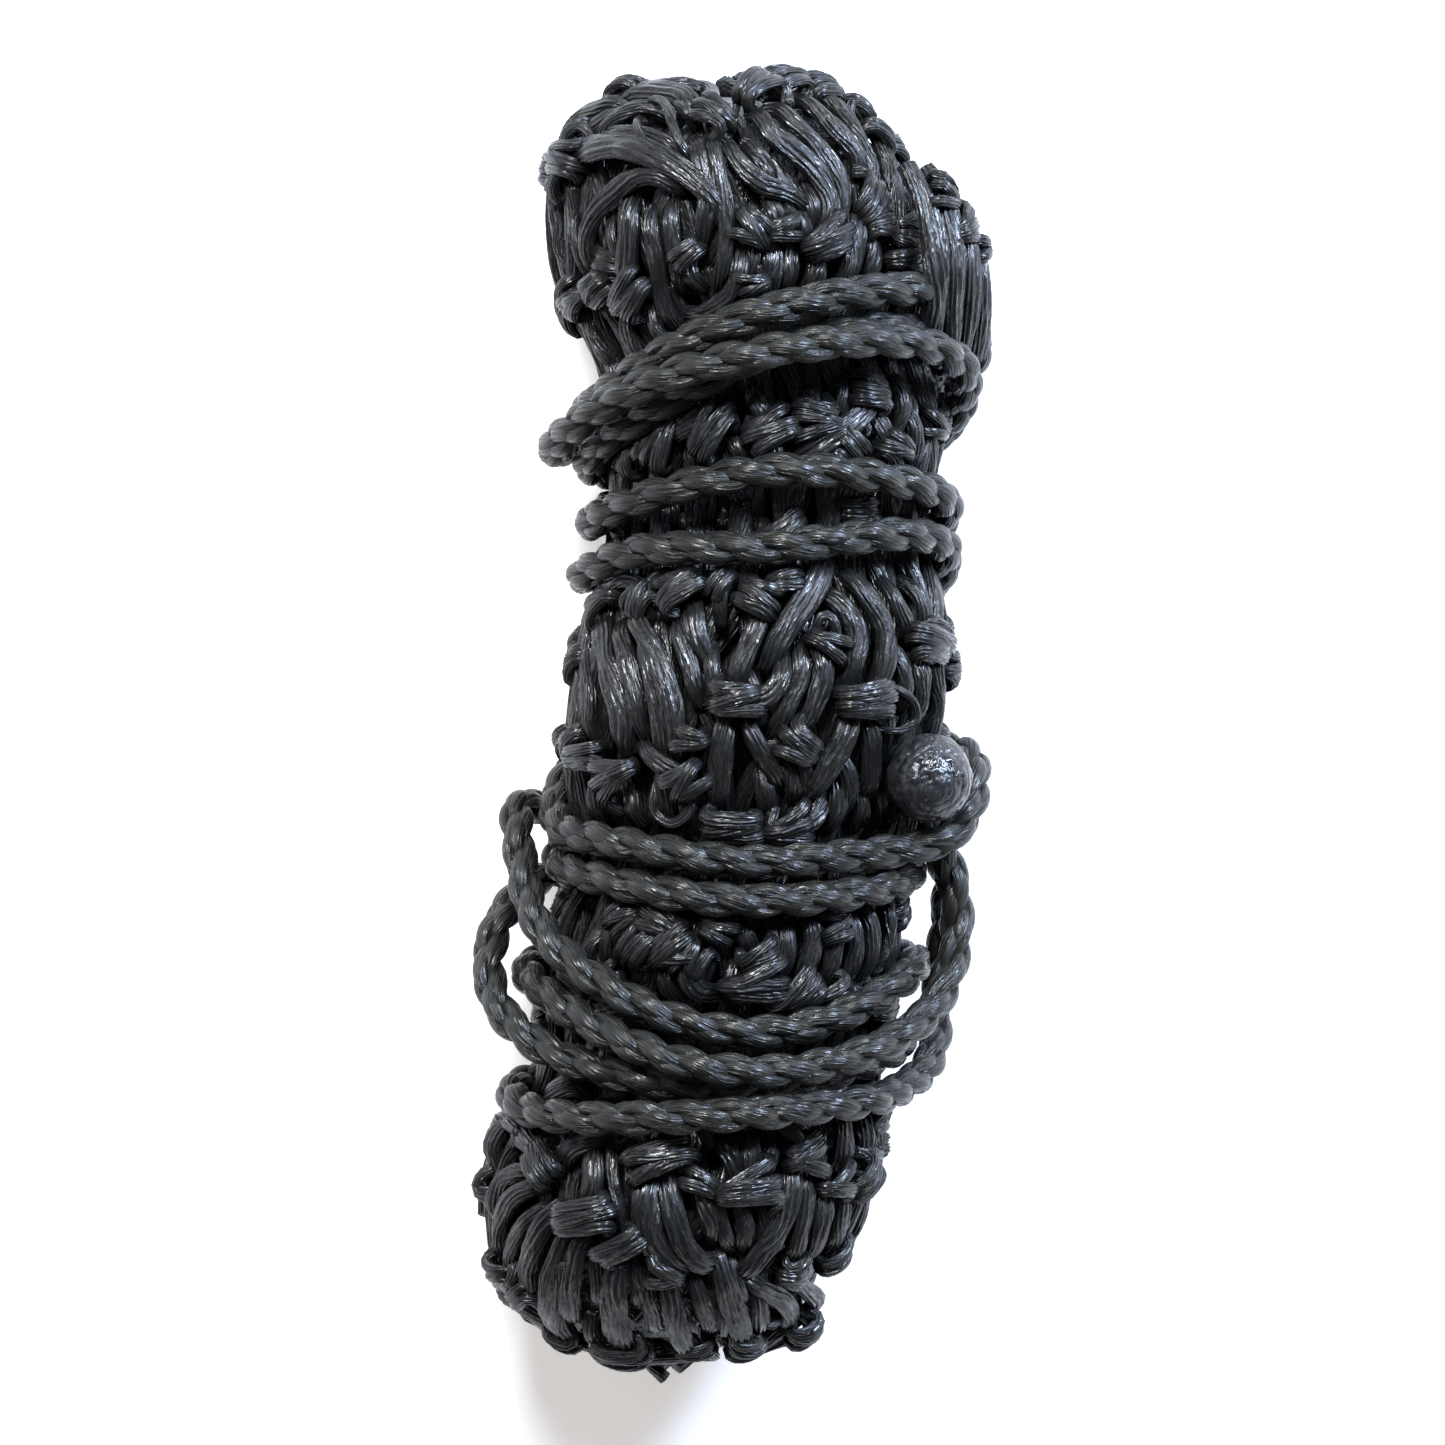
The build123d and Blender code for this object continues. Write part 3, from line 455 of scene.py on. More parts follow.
# The knots on the roll's front: x, y, slant in degrees (right end up), size against the usual one, lift.
front_knots = [
    # head fold
    (-0.0037, 0.1068, -28, 1.0, 0.0006), (-0.0294, 0.1004, -8, 1.5, 0.001),
    (-0.0282, 0.105, 55, 1, 0.0004), (-0.0196, 0.1132, 10, 0.8, 0.0002),
    (0.004, 0.1118, 40, 1.4, 0.0009), (0.0096, 0.1136, 15, 1.2, 0.0005),
    (0.0162, 0.1131, -15, 0.9, 0.0003), (0.0228, 0.1098, -40, 0.9, 0.0003),
    (0.0276, 0.105, -30, 1.1, 0.0004), (0.0238, 0.0926, 38, 1.2, 0.0006),
    (0.0256, 0.0888, 15, 1, 0.0005), (0.0162, 0.085, 24, 1.5, 0.001),
    (0.0084, 0.0862, 10, 1.1, 0.0007), (0.0033, 0.0864, -38, 1, 0.0006),
    (0.0304, 0.083, 0, 1.3, 0.0005), (0.0336, 0.0882, -10, 0.9, 0.0003),
    (0.003, 0.0772, 20, 0.8, 0.0002), (-0.0242, 0.0769, 40, 0.9, 0.0005),
    (-0.0182, 0.0756, 42, 1.35, 0.0009), (-0.0276, 0.0752, 25, 1.1, 0.0005),
    (-0.0086, 0.0822, 35, 0.8, -0.0002), (-0.0346, 0.0966, 70, 0.8, 0.0006),
    # upper lap
    (-0.0128, 0.0496, 62, 1.3, 0.0009), (-0.0068, 0.053, 15, 1, 0.0005),
    (-0.004, 0.0514, 50, 1.4, 0.001), (0.0064, 0.0514, 25, 1.3, 0.0008),
    (0.0146, 0.0534, 5, 1.2, 0.0007), (0.0286, 0.0482, -20, 1.1, 0.0006),
    (0.024, 0.0586, 0, 1.2, 0.0007), (0.0206, 0.0482, -30, 0.9, 0.0002),
    (-0.019, 0.047, 70, 1, 0.0004),
    # middle lap
    (-0.0252, 0.0206, 30, 1.1, 0.0006), (-0.0166, 0.0216, 60, 0.9, 0.0004),
    (-0.0094, 0.0234, 30, 1.2, 0.0008), (0.0042, 0.0218, -25, 1.1, 0.0006),
    (0.0092, 0.0246, 10, 0.9, 0.0002), (-0.0022, 0.0244, 55, 0.9, 0.0004),
    (0.0347, 0.0139, 0, 1.3, 0.0006), (0.0166, 0.0136, -25, 1, 0.0005),
    (0.0004, 0.004, 8, 1.6, 0.0012), (0.0228, 0.0042, 10, 1.9, 0.0012),
    (0.0114, -0.004, -35, 1.25, 0.0009), (-0.0264, -0.0058, 0, 1.5, 0.0008),
    (-0.021, -0.0092, 18, 1.45, 0.0009), (-0.0084, -0.0102, 45, 1.3, 0.0009),
    (-0.0077, -0.0029, -20, 0.9, 0), (-0.0002, -0.0184, 12, 1.5, 0.0009),
    (0.0096, -0.0184, 8, 1.2, 0.0006),
    # lower lap
    (-0.0194, -0.0346, 25, 1, 0.0006), (-0.0129, -0.0349, -40, 1.1, 0.0006),
    (-0.017, -0.0396, 55, 1.2, 0.0008), (-0.0109, -0.04, 22, 1.3, 0.0009),
    (-0.003, -0.0368, -35, 1, 0.0006), (0.0043, -0.0412, 30, 1.1, 0.0006),
    (0.0037, -0.046, 10, 1.7, 0.0011), (0.0108, -0.0482, 42, 1.4, 0.0009),
    (0.018, -0.036, 15, 0.9, 0.0005), (-0.0073, -0.0418, 65, 0.9, 0.0007),
    (-0.0234, -0.0462, 30, 1.2, 0.0006), (-0.0286, -0.0476, -20, 1.2, 0.0006),
    (-0.0204, -0.0526, 10, 1.1, 0.0004), (0.0174, -0.049, 30, 1.1, 0.0006),
    # foot fold
    (-0.0338, -0.0784, -38, 1.35, 0.0011), (-0.0394, -0.0722, -30, 1, 0.0009),
    (-0.0263, -0.087, 10, 1.6, 0.0011), (-0.0201, -0.0922, 38, 1.3, 0.001),
    (-0.0131, -0.077, 14, 1.8, 0.0012), (-0.006, -0.081, -28, 1.1, 0.0007),
    (0.0023, -0.0817, 14, 1.6, 0.0011), (0.0124, -0.0766, 10, 1.3, 0.0008),
    (0.0178, -0.0817, 18, 1.2, 0.0008), (0.0227, -0.0812, 48, 1.4, 0.001),
    (-0.0123, -0.0972, -15, 1, 0.0006), (-0.0202, -0.1122, -10, 1.4, 0.0006),
    (-0.0306, -0.1104, -20, 1.1, 0.0004), (0.0139, -0.1096, 40, 1, 0.0004),
    (0.0022, -0.1114, 20, 1, 0.0004), (-0.0068, -0.1118, 20, 0.85, 0),
    (-0.0422, -0.098, -15, 1, 0.0006), (-0.0386, -0.1016, 20, 1, 0.0004),
    (0.022, -0.0954, 30, 0.9, 0.0003), (0.0104, -0.0976, 0, 0.9, 0.0004),
    (-0.031, -0.095, 20, 0.7, -0.0006), (-0.0298, -0.0662, 20, 1.2, 0.0005),
    (0.026, -0.079, -20, 0.9, 0.0003), (0.0092, -0.0706, -20, 1.1, 0.0006),
    (-0.0032, -0.0708, 15, 1.1, 0.0006),
]

# Strands that bulge out at the right edge, under and below the knob: x, y, z.
side_strands = [
    [(0.0345, -0.002, 0.036), (0.035, -0.009, 0.0365), (0.0335, -0.016, 0.0355), (0.0305, -0.024, 0.035)],
    [(0.0352, -0.004, 0.029), (0.035, -0.012, 0.029), (0.0328, -0.02, 0.0285), (0.03, -0.029, 0.028)],
    [(0.034, -0.01, 0.042), (0.0318, -0.017, 0.042), (0.0292, -0.024, 0.0415), (0.0282, -0.032, 0.04)],
    [(0.034, -0.008, 0.022), (0.033, -0.016, 0.0225), (0.0305, -0.024, 0.022), (0.0296, -0.032, 0.022)],
]

# The strands of the loose lap at the right of the head, which pass over the drawcord: x, y, z.
side_lap_strands = [
    [(0.0305, 0.0990, 0.0485), (0.0335, 0.0930, 0.0500), (0.0352, 0.0860, 0.0508), (0.0358, 0.0790, 0.0508),
        (0.0356, 0.0730, 0.0478), (0.0352, 0.0680, 0.0440)],
    [(0.0340, 0.0985, 0.0440), (0.0372, 0.0940, 0.0462), (0.0387, 0.0870, 0.0476), (0.0391, 0.0790, 0.0478),
        (0.0389, 0.0735, 0.0450), (0.0386, 0.0685, 0.0420)],
    [(0.0346, 0.0975, 0.0390), (0.0398, 0.0915, 0.0418), (0.0416, 0.0860, 0.0430), (0.0422, 0.0790, 0.0432),
        (0.0418, 0.0730, 0.0405), (0.0408, 0.0675, 0.0370)],
    [(0.0350, 0.0960, 0.0320), (0.0412, 0.0900, 0.0360), (0.0438, 0.0840, 0.0380), (0.0445, 0.0775, 0.0385),
        (0.0442, 0.0715, 0.0355), (0.0434, 0.0660, 0.0310)],
]
side_lap_knots = [(0.0372, 0.0935, 0.0470), (0.0438, 0.0850, 0.0380), (0.0405, 0.0880, 0.0440)]

leg_a_length = 1.012
leg_b_length = 1.221


# --- The roll's surface -------------------------------------------------------------------------------


def curve_values(rows, places):
    """Values at places on the smooth curve through (place, value) rows, in rising order of place."""
    rows = np.asarray(rows, float)
    at = np.concatenate(([2 * rows[0, 0] - rows[1, 0]], rows[:, 0], [2 * rows[-1, 0] - rows[-2, 0]]))
    value = np.concatenate(([2 * rows[0, 1] - rows[1, 1]], rows[:, 1], [2 * rows[-1, 1] - rows[-2, 1]]))
    slope = (value[2:] - value[:-2]) / (at[2:] - at[:-2])
    at, value = at[1:-1], value[1:-1]
    places = np.asarray(places, float)
    low = np.clip(np.searchsorted(at, places, side="right") - 1, 0, len(at) - 2)
    span = at[low + 1] - at[low]
    t = (places - at[low]) / span
    return (
        (2 * t**3 - 3 * t**2 + 1) * value[low]
        + (t**3 - 2 * t**2 + t) * span * slope[low]
        + (3 * t**2 - 2 * t**3) * value[low + 1]
        + (t**3 - t**2) * span * slope[low + 1]
    )


rising_stations = np.array(stations[::-1])
roll_foot, roll_head = rising_stations[0, 0], rising_stations[-1, 0]


def roll_edges(along):
    """The roll's left, right, bottom and top at places along it, in the frame."""
    along = np.clip(along, roll_foot, roll_head)
    left, right, bottom, top = (
        curve_values(rising_stations[:, (0, column)], along) for column in (1, 2, 3, 4)
    )
    return left - side_centre, right - side_centre, bottom, top


def around_roll(angle, along, reach):
    """Points at clock angles in degrees (180 left edge, 90 front, 0 right edge), so far off the roll."""
    left, right, bottom, top = roll_edges(along)
    turn = np.radians(angle)
    return np.stack(
        np.broadcast_arrays(
            (left + right) / 2 + ((right - left) / 2 + reach) * np.cos(turn),
            along,
            (bottom + top) / 2 + ((top - bottom) / 2 + reach) * np.sin(turn),
        ),
        axis=-1,
    )


def level(points):
    """How far points are from the roll's middle line, where its surface is 1."""
    left, right, bottom, top = roll_edges(points[:, 1])
    wide = (points[:, 0] - (left + right) / 2) / ((right - left) / 2)
    high = (points[:, 2] - (bottom + top) / 2) / ((top - bottom) / 2)
    return wide**2 + high**2


def outward(points):
    """The direction straight out of the roll at points."""
    step = 0.0004
    gradient = np.empty_like(points)
    for axis in range(3):
        shift = np.zeros(3)
        shift[axis] = step
        gradient[:, axis] = level(points + shift) - level(points - shift)
    return unit(gradient)


def unit(vectors):
    """The vectors at length one."""
    return vectors / np.maximum(np.linalg.norm(vectors, axis=-1, keepdims=True), 1e-12)


def front_points(places, widest):
    """Points on the roll's front from (x, y, lift) rows, the lift being straight out of the roll.

    widest is how near its edges they may come, the middle being 0 and the edges 1.
    """
    places = np.asarray(places, float)
    left, right, bottom, top = roll_edges(places[:, 1])
    wide = np.clip((places[:, 0] - (left + right) / 2) / ((right - left) / 2), -widest, widest)
    aside = (left + right) / 2 + (right - left) / 2 * wide
    high = (bottom + top) / 2 + (top - bottom) / 2 * np.sqrt(1 - wide**2)
    points = np.stack((aside, places[:, 1], high), axis=1)
    return points + outward(points) * places[:, 2:3]


# --- The drawcord's route -----------------------------------------------------------------------------


def wound_points(rows):
    """The route's points along a winding: its rows, and evenly spaced points between rows far apart."""
    travelled = [0.0]
    for row, following in zip(rows, rows[1:]):
        around = (row[0] - following[0]) * arc_per_degree
        travelled.append(travelled[-1] + math.hypot(around, row[1] - following[1]))
    heights = [(place, row[1]) for place, row in zip(travelled, rows)]
    stand_offs = [(place, row[2]) for place, row in zip(travelled, rows)]
    points = []
    for index, (row, following) in enumerate(zip(rows, rows[1:])):
        count = math.ceil(abs(row[0] - following[0]) / largest_step)
        share = np.arange(count) / count
        angle = row[0] + (following[0] - row[0]) * share
        place = travelled[index] + (travelled[index + 1] - travelled[index]) * share
        reach = cord_radius + cord_clearance + curve_values(stand_offs, place)
        points.extend(around_roll(angle, curve_values(heights, place), reach))
    angle, along, stand_off = rows[-1]
    points.append(around_roll(angle, along, cord_radius + cord_clearance + stand_off))
    return points


def in_frame(points):
    """Route points given in x, y and z, moved into the frame."""
    return [np.array(point) - (side_centre, 0, 0) for point in points]


def smooth_line(name, points):
    """Points along the smooth line that has the route's points as its control points."""
    curve = bpy.data.curves.new(name, "CURVE")
    curve.dimensions = "3D"
    curve.resolution_u = 12
    spline = curve.splines.new("NURBS")
    spline.points.add(len(points) - 1)
    for control, point in zip(spline.points, points):
        control.co = (*point, 1)
    spline.order_u = 3
    spline.use_endpoint_u = True
    holder = bpy.data.objects.new(name, curve)
    bpy.context.scene.collection.objects.link(holder)
    traced = bpy.data.meshes.new_from_object(holder)
    line = np.array([vertex.co for vertex in traced.vertices], float)
    bpy.data.objects.remove(holder)
    bpy.data.curves.remove(curve)
    bpy.data.meshes.remove(traced)
    return line


def lengths_along(line):
    """The distance travelled along a line, at each of its points."""
    return np.concatenate(([0.0], np.cumsum(np.linalg.norm(np.diff(line, axis=0), axis=1))))


def evenly(line, step):
    """The line at even steps."""
    travelled = lengths_along(line)
    count = max(int(round(travelled[-1] / step)), 2)
    places = np.linspace(0, travelled[-1], count + 1)
    return np.stack([np.interp(places, travelled, line[:, axis]) for axis in range(3)], axis=1)


# --- Strands as meshes --------------------------------------------------------------------------------


class Bundle:
    """Closed strands gathered into one mesh, each with the way that its fibres run."""

    def __init__(self):
        self.points = []
        self.faces = []
        self.fibres = []
        self.count = 0

    def add(self, rings, across, along, shade):
        """One strand from its rings of points, with flat ends.

        across and along are distances over its fibres, for the material's streaks, and shade sets them off.
        """
        steps, around = rings.shape[:2]
        self.points.append(rings.reshape(-1, 3))
        ring_starts = self.count + np.arange(steps - 1)[:, None] * around
        first = ring_starts + np.arange(around)[None, :]
        second = ring_starts + (np.arange(around) + 1)[None, :] % around
        sides = np.stack((first, second, second + around, first + around), axis=-1).reshape(-1, 4)
        near = np.arange(around // 2 - 1)
        cap = np.stack((near, near + 1, around - 2 - near, around - 1 - near), axis=-1)
        ends = [self.count + cap[:, ::-1], self.count + (steps - 1) * around + cap]
        self.faces.append(np.concatenate([sides] + ends))
        fibre = np.empty((steps, around, 3))
        fibre[..., 0] = across
        fibre[..., 1] = along if along.ndim == 2 else along[:, None]
        fibre[..., 2] = shade
        self.fibres.append(fibre.reshape(-1, 3))
        self.count += steps * around

    def piece(self, name, material):
        """The strands as one Blender object."""
        points = np.concatenate(self.points)
        faces = np.concatenate(self.faces)
        mesh = bpy.data.meshes.new(name)
        mesh.vertices.add(len(points))
        mesh.vertices.foreach_set("co", points.astype(np.float32).ravel())
        mesh.loops.add(faces.size)
        mesh.loops.foreach_set("vertex_index", faces.astype(np.int32).ravel())
        mesh.polygons.add(len(faces))
        mesh.polygons.foreach_set("loop_start", np.arange(0, faces.size, 4, dtype=np.int32))
        mesh.polygons.foreach_set("loop_total", np.full(len(faces), 4, dtype=np.int32))
        mesh.update(calc_edges=True)
        mesh.validate()
        attribute = mesh.attributes.new("fibre", "FLOAT_VECTOR", "POINT")
        attribute.data.foreach_set("vector", np.concatenate(self.fibres).astype(np.float32).ravel())
        mesh.shade_smooth()
        mesh.materials.append(material)
        thing = bpy.data.objects.new(name, mesh)
        bpy.context.scene.collection.objects.link(thing)
        return thing


def frames_along(path, out):
    """Unit directions out of and across a strand, at each point of its path."""
    forward = unit(np.gradient(path, axis=0))
    up = unit(out - np.sum(out * forward, axis=1, keepdims=True) * forward)
    return up, np.cross(up, forward)


def through(points, step):
    """A smooth line through points, at even steps."""
    points = np.asarray(points, float)
    travelled = lengths_along(points)
    fine = np.linspace(0, travelled[-1], 8 * len(points))
    axes = [curve_values(np.stack((travelled, points[:, axis]), axis=1), fine) for axis in range(3)]
    return evenly(np.stack(axes, axis=1), step)


def wander(count, pace, random):
    """A smooth random curve of that many values, about one wave to each pace values, from -1 to 1."""
    knots = max(int(count / pace) + 3, 4)
    values = random.uniform(-1, 1, knots)
    places = np.linspace(0, knots - 1.001, count)
    low = places.astype(int)
    t = places - low
    t = t * t * (3 - 2 * t)
    return values[low] * (1 - t) + values[np.minimum(low + 1, knots - 1)] * t


# --- The drawcord -------------------------------------------------------------------------------------

braid_strands = 7
braid_rows = 5  # rows of stitches round the cord
stitch_length = 0.0113
rings_per_stitch = 12
stitch_half_width = 0.00178
stitch_half_thickness = 0.00125
stitch_point = 0.40  # width of a stitch's ends against its middle
dive_depth = 0.0020
cord_turns = np.concatenate((np.linspace(0, np.pi, 7), np.linspace(1.25 * np.pi, 1.75 * np.pi, 3)))


def carried_frame(line):
    """Directions across a line that never twist about it, at each of its points."""
    forward = unit(np.gradient(line, axis=0))
    across = np.cross(forward[0], (0.0, 0.0, 1.0))
    carried = []
    for direction in forward:
        across = across - np.dot(across, direction) * direction
        across = across / np.linalg.norm(across)
        carried.append(across)
    carried = np.array(carried)
    return forward, carried, np.cross(forward, carried)


def braided_cord(name, route, material, random):
    """A solid braid along a route: each strand shows as a row of leaf-shaped stitches, then dives."""
    line = evenly(smooth_line(name, route), stitch_length / rings_per_stitch)
    forward, across, upward = carried_frame(line)
    travelled = lengths_along(line)
    bundle = Bundle()
    for strand in range(braid_strands):
        turn = 2 * np.pi * (travelled / stitch_length / braid_rows + strand / braid_strands)
        stitch = turn * braid_rows / (2 * np.pi)
        share = stitch - np.floor(stitch)
        leaf = np.sin(np.pi * share**1.15)  # how full the stitch is, from nothing at its ends
        slack = 0.00010 * wander(len(line), 9, random)
        reach = cord_radius - stitch_half_thickness + 0.00015 - dive_depth * (1 - leaf**0.8) + slack
        out = across * np.cos(turn)[:, None] + upward * np.sin(turn)[:, None]
        path = line + out * reach[:, None]
        up, side = frames_along(path, out)
        wide = stitch_half_width * (stitch_point + (1 - stitch_point) * leaf**0.7)
        wide = wide * (1 + 0.06 * wander(len(line), 10, random))
        high = stitch_half_thickness * (0.8 + 0.2 * leaf)
        rings = (
            path[:, None, :]
            + side[:, None, :] * (wide[:, None] * np.cos(cord_turns))[..., None]
            + up[:, None, :] * (high[:, None] * np.sin(cord_turns))[..., None]
        )
        rings[..., 2] = np.maximum(rings[..., 2], floor_gap)
        bundle.add(rings, stitch_half_width * cord_turns, travelled, random.uniform())
    piece = bundle.piece(name, material)
    return piece, line


# --- The netting --------------------------------------------------------------------------------------

net_step = 0.0016
tuck_length = 0.0050  # how much of a strand's end goes down, where it is tucked in
rib_count = 6
twine_half_width = 0.00198
twine_half_thickness = 0.00132
rib_depth = 0.32  # as shares of the twine's half width and half thickness
rib_unevenness = 0.11
rib_drift = 1.6  # how far the ribs wander round the twine, in radians
roll_wander = 0.40  # how far a strand may roll about its own line, in radians
size_wander = 0.10  # how much its width and its thickness wander, as a share
squareness = 0.85  # 1 for a round section, less for a squarer one
end_bulge = 0.25  # how much thicker a strand is where its ends are drawn together, as a share
rib_lay = 60.0  # how fast the ribs may run askew, in radians to the metre
wrap_pitch = 0.0019
wrap_half_width = 0.00118
wrap_half_thickness = 0.00095
wrap_pinch = 0.35
wrap_slant = 0.0012  # how far a wrap's ends may lie apart along the strands that it holds
knot_half_span = 0.0033
knot_rise = 0.0021
knot_core_depth = 0.0015
knot_fan = 0.55  # how much the wraps may spread to one side, as a share
knot_hook = 0.0036  # how far the outer wraps' ends may bend away
net_turns = np.concatenate((
    np.linspace(-0.06 * np.pi, 1.06 * np.pi, 29),
    np.linspace(1.22 * np.pi, 1.78 * np.pi, 5),
))


def pressed(path, out, half_thickness):
    """The path, pushed into the roll where the drawcord or the knob lies over it."""
    push = np.zeros(len(path))
    for centres, radius in ((cord_samples, cord_radius), (knob_samples, knob_radius + knob_clearance)):
        reach = radius + half_thickness + press_gap
        gap = path[:, None, :] - centres[None, :, :]
        depth = np.einsum("ijk,ik->ij", gap, out)
        apart = np.einsum("ijk,ijk->ij", gap, gap)
        aside = np.maximum(apart - depth**2, 0)
        amount = depth + np.sqrt(np.maximum(reach**2 - aside, 0))
        near = (aside < reach**2) & (apart < (reach + 0.006) ** 2)
        push = np.maximum(push, np.max(np.where(near, amount, 0), axis=1))
    softened = np.convolve(np.pad(push, 2, mode="edge"), np.array([1, 2, 3, 2, 1]) / 9, mode="valid")
    return path - out * np.maximum(push, softened)[:, None]


def net_strand(bundle, points, random, half_width=twine_half_width, half_thickness=twine_half_thickness,
               core=None, pinch=0.30, turn=0.0, tuck=0.0, press=True, step=net_step):
    """One length of the net's flat twine through points, with its ribs wandering along it.

    Its flat side faces out of the roll, or away from core, and turn rolls it from there. pinch is how much
    narrower it is at its ends, tuck how deep they go down between the other strands, and press whether the
    drawcord and the knob push it in.
    """
    path = through(points, step)
    if tuck:
        travelled = lengths_along(path)
        from_end = np.minimum(travelled, travelled[-1] - travelled)
        path = path - outward(path) * (tuck * np.clip(1 - from_end / tuck_length, 0, 1) ** 2)[:, None]
    out = outward(path) if core is None else unit(path - core)
    if press:
        path = pressed(path, outward(path), half_thickness)
    count = len(path)
    up, side = frames_along(path, out)
    angle = turn + roll_wander * wander(count, 9, random)
    up, side = (
        up * np.cos(angle)[:, None] + side * np.sin(angle)[:, None],
        side * np.cos(angle)[:, None] - up * np.sin(angle)[:, None],
    )
    middle = np.sin(np.linspace(0.12, np.pi - 0.12, count)) ** 0.5
    wide = half_width * (1 - pinch + pinch * middle) * (1 + size_wander * wander(count, 6, random))
    high = half_thickness * (1 + end_bulge * (1 - middle)) * (1 + size_wander * wander(count, 6, random))
    cosine, sine = np.cos(net_turns), np.sin(net_turns)
    lay = random.uniform(-1, 1) * rib_lay * lengths_along(path)
    drift = (rib_drift * wander(count, 8, random) + lay)[:, None]
    phase = rib_count * net_turns[None, :] + drift
    ridge = np.abs(np.sin(phase)) ** 0.8  # round ribs with sharp creases between them
    levels = np.stack([wander(count, 6, random) for _ in range(2 * rib_count)], axis=1)
    which = np.floor(phase / np.pi).astype(int) % (2 * rib_count)
    level_here = np.take_along_axis(levels, which, axis=1)
    ribs = 1 + (rib_depth * (ridge - 0.7) + rib_unevenness * level_here) * np.clip(sine + 0.2, 0, 1) ** 0.5
    across = wide[:, None] * np.sign(cosine) * np.abs(cosine) ** squareness * ribs
    above = high[:, None] * np.sign(sine) * np.abs(sine) ** squareness * ribs
    rings = path[:, None, :] + side[:, None, :] * across[..., None] + up[:, None, :] * above[..., None]
    rings[..., 2] = np.maximum(rings[..., 2], floor_gap)
    bundle.add(rings, half_width * net_turns, lengths_along(path), random.uniform())


def net_knot(bundle, point, random, angle=0.0, size=1.0, step=net_step):
    """A knot's crosswise wraps over the strands that meet at a point; angle is their slant in radians."""
    point = np.asarray(point, float)
    out = outward(point[None, :])[0]
    if abs(out[1]) < 0.95:
        along = unit(np.array([0.0, 1.0, 0.0]) - out[1] * out)
    else:
        along = np.array([0.0, 0.0, -1.0])  # at the roll's ends, where out is along the roll
    across = np.cross(along, out)
    along, across = (
        along * math.cos(angle) - across * math.sin(angle),
        across * math.cos(angle) + along * math.sin(angle),
    )
    mirror = random.choice((-1, 1))  # which way the first wrap goes over
    half_span = knot_half_span * size * random.uniform(0.85, 1.15)
    rise = knot_rise * (0.6 + 0.4 * size) * random.uniform(0.9, 1.1)
    core = point - out * knot_core_depth
    wraps = 2 + int(size - 0.55 + random.uniform())
    fan = random.uniform(-knot_fan, knot_fan)
    for wrap in range(wraps):
        beside = wrap - (wraps - 1) / 2
        span = half_span * (1 - 0.10 * abs(beside)) * random.uniform(0.9, 1.1)
        height = rise * (1 - 0.12 * abs(beside)) * random.uniform(0.85, 1.15)
        slant = random.uniform(-wrap_slant, wrap_slant)
        hook = (random.uniform(0, knot_hook) if wrap in (0, wraps - 1) else 0.0) * np.sign(beside)
        degrees = np.linspace(-45, 215, 11)
        angles = np.radians(degrees)
        late = np.clip((degrees - 125) / 90, 0, 1)
        over = np.sign(np.sin(angles)) * np.abs(np.sin(angles)) ** squareness
        facing = mirror * (-1) ** wrap
        spread = 1 + fan * facing * np.cos(angles)
        path = (
            point
            + across * (facing * span * np.cos(angles) * (1 - 0.35 * late**2))[:, None]
            + out * (height * over)[:, None]
            + along * (wrap_pitch * beside * spread + slant * np.cos(angles) + hook * late**2)[:, None]
        )
        half_width = wrap_half_width * (0.75 + 0.25 * size) * random.uniform(0.85, 1.15)
        net_strand(
            bundle, path, random, half_width, wrap_half_thickness, core=core, pinch=wrap_pinch, step=step,
        )


def diamond_net(bundles, place, column_ends, rows, spacing, random, knotted, keep=None):
    """A closed-up diamond mesh: knots in staggered rows, with strands zigzagging between them.

    place gives the point at a column and a distance, knotted the share of the corners that show a knot, and
    keep whether what is at a point is made at all.
    """
    first, last = column_ends

    def knot_at(column, row):
        shift = 0.5 * (row % 2)
        key = (column, row)
        if key not in jitter:
            jitter[key] = random.uniform(-1, 1, 3)
        aside, along, _ = jitter[key]
        return column + shift + stray_across * aside, (row + stray_along * along) * spacing

    jitter = {}
    share = np.linspace(0, 1, 6)
    for row in rows:
        for column in range(first, last):
            start = knot_at(column, row)
            point = place(*start)
            if (keep is None or keep(point)) and random.uniform() < knotted:
                net_knot(bundles(point), point, random, random.uniform(-0.6, 0.6), random.uniform(0.85, 1.3))
            for step in (0, 1):
                neighbour = column + (step - 1 if row % 2 == 0 else step)
                end = knot_at(neighbour, row + 1)
                bow = strand_bow * random.uniform(-1, 1)
                lift = strand_lift * random.uniform(-1, 1)
                points = np.array([
                    place(
                        start[0] + (end[0] - start[0]) * t + bow * math.sin(math.pi * t),
                        start[1] + (end[1] - start[1]) * t,
                    )
                    for t in share
                ])
                points += outward(points) * (lift * np.sin(np.pi * share) - under_knots)[:, None]
                if keep is None or keep(points[3]):
                    net_strand(bundles(points[3]), points, random, turn=0.25 * random.uniform(-1, 1))


def lap_of(point):
    """The name of the lap or fold of netting that a point belongs to."""
    for name, (_, foot_end) in lap_bounds.items():
        if point[1] >= foot_end:
            return name
    return name


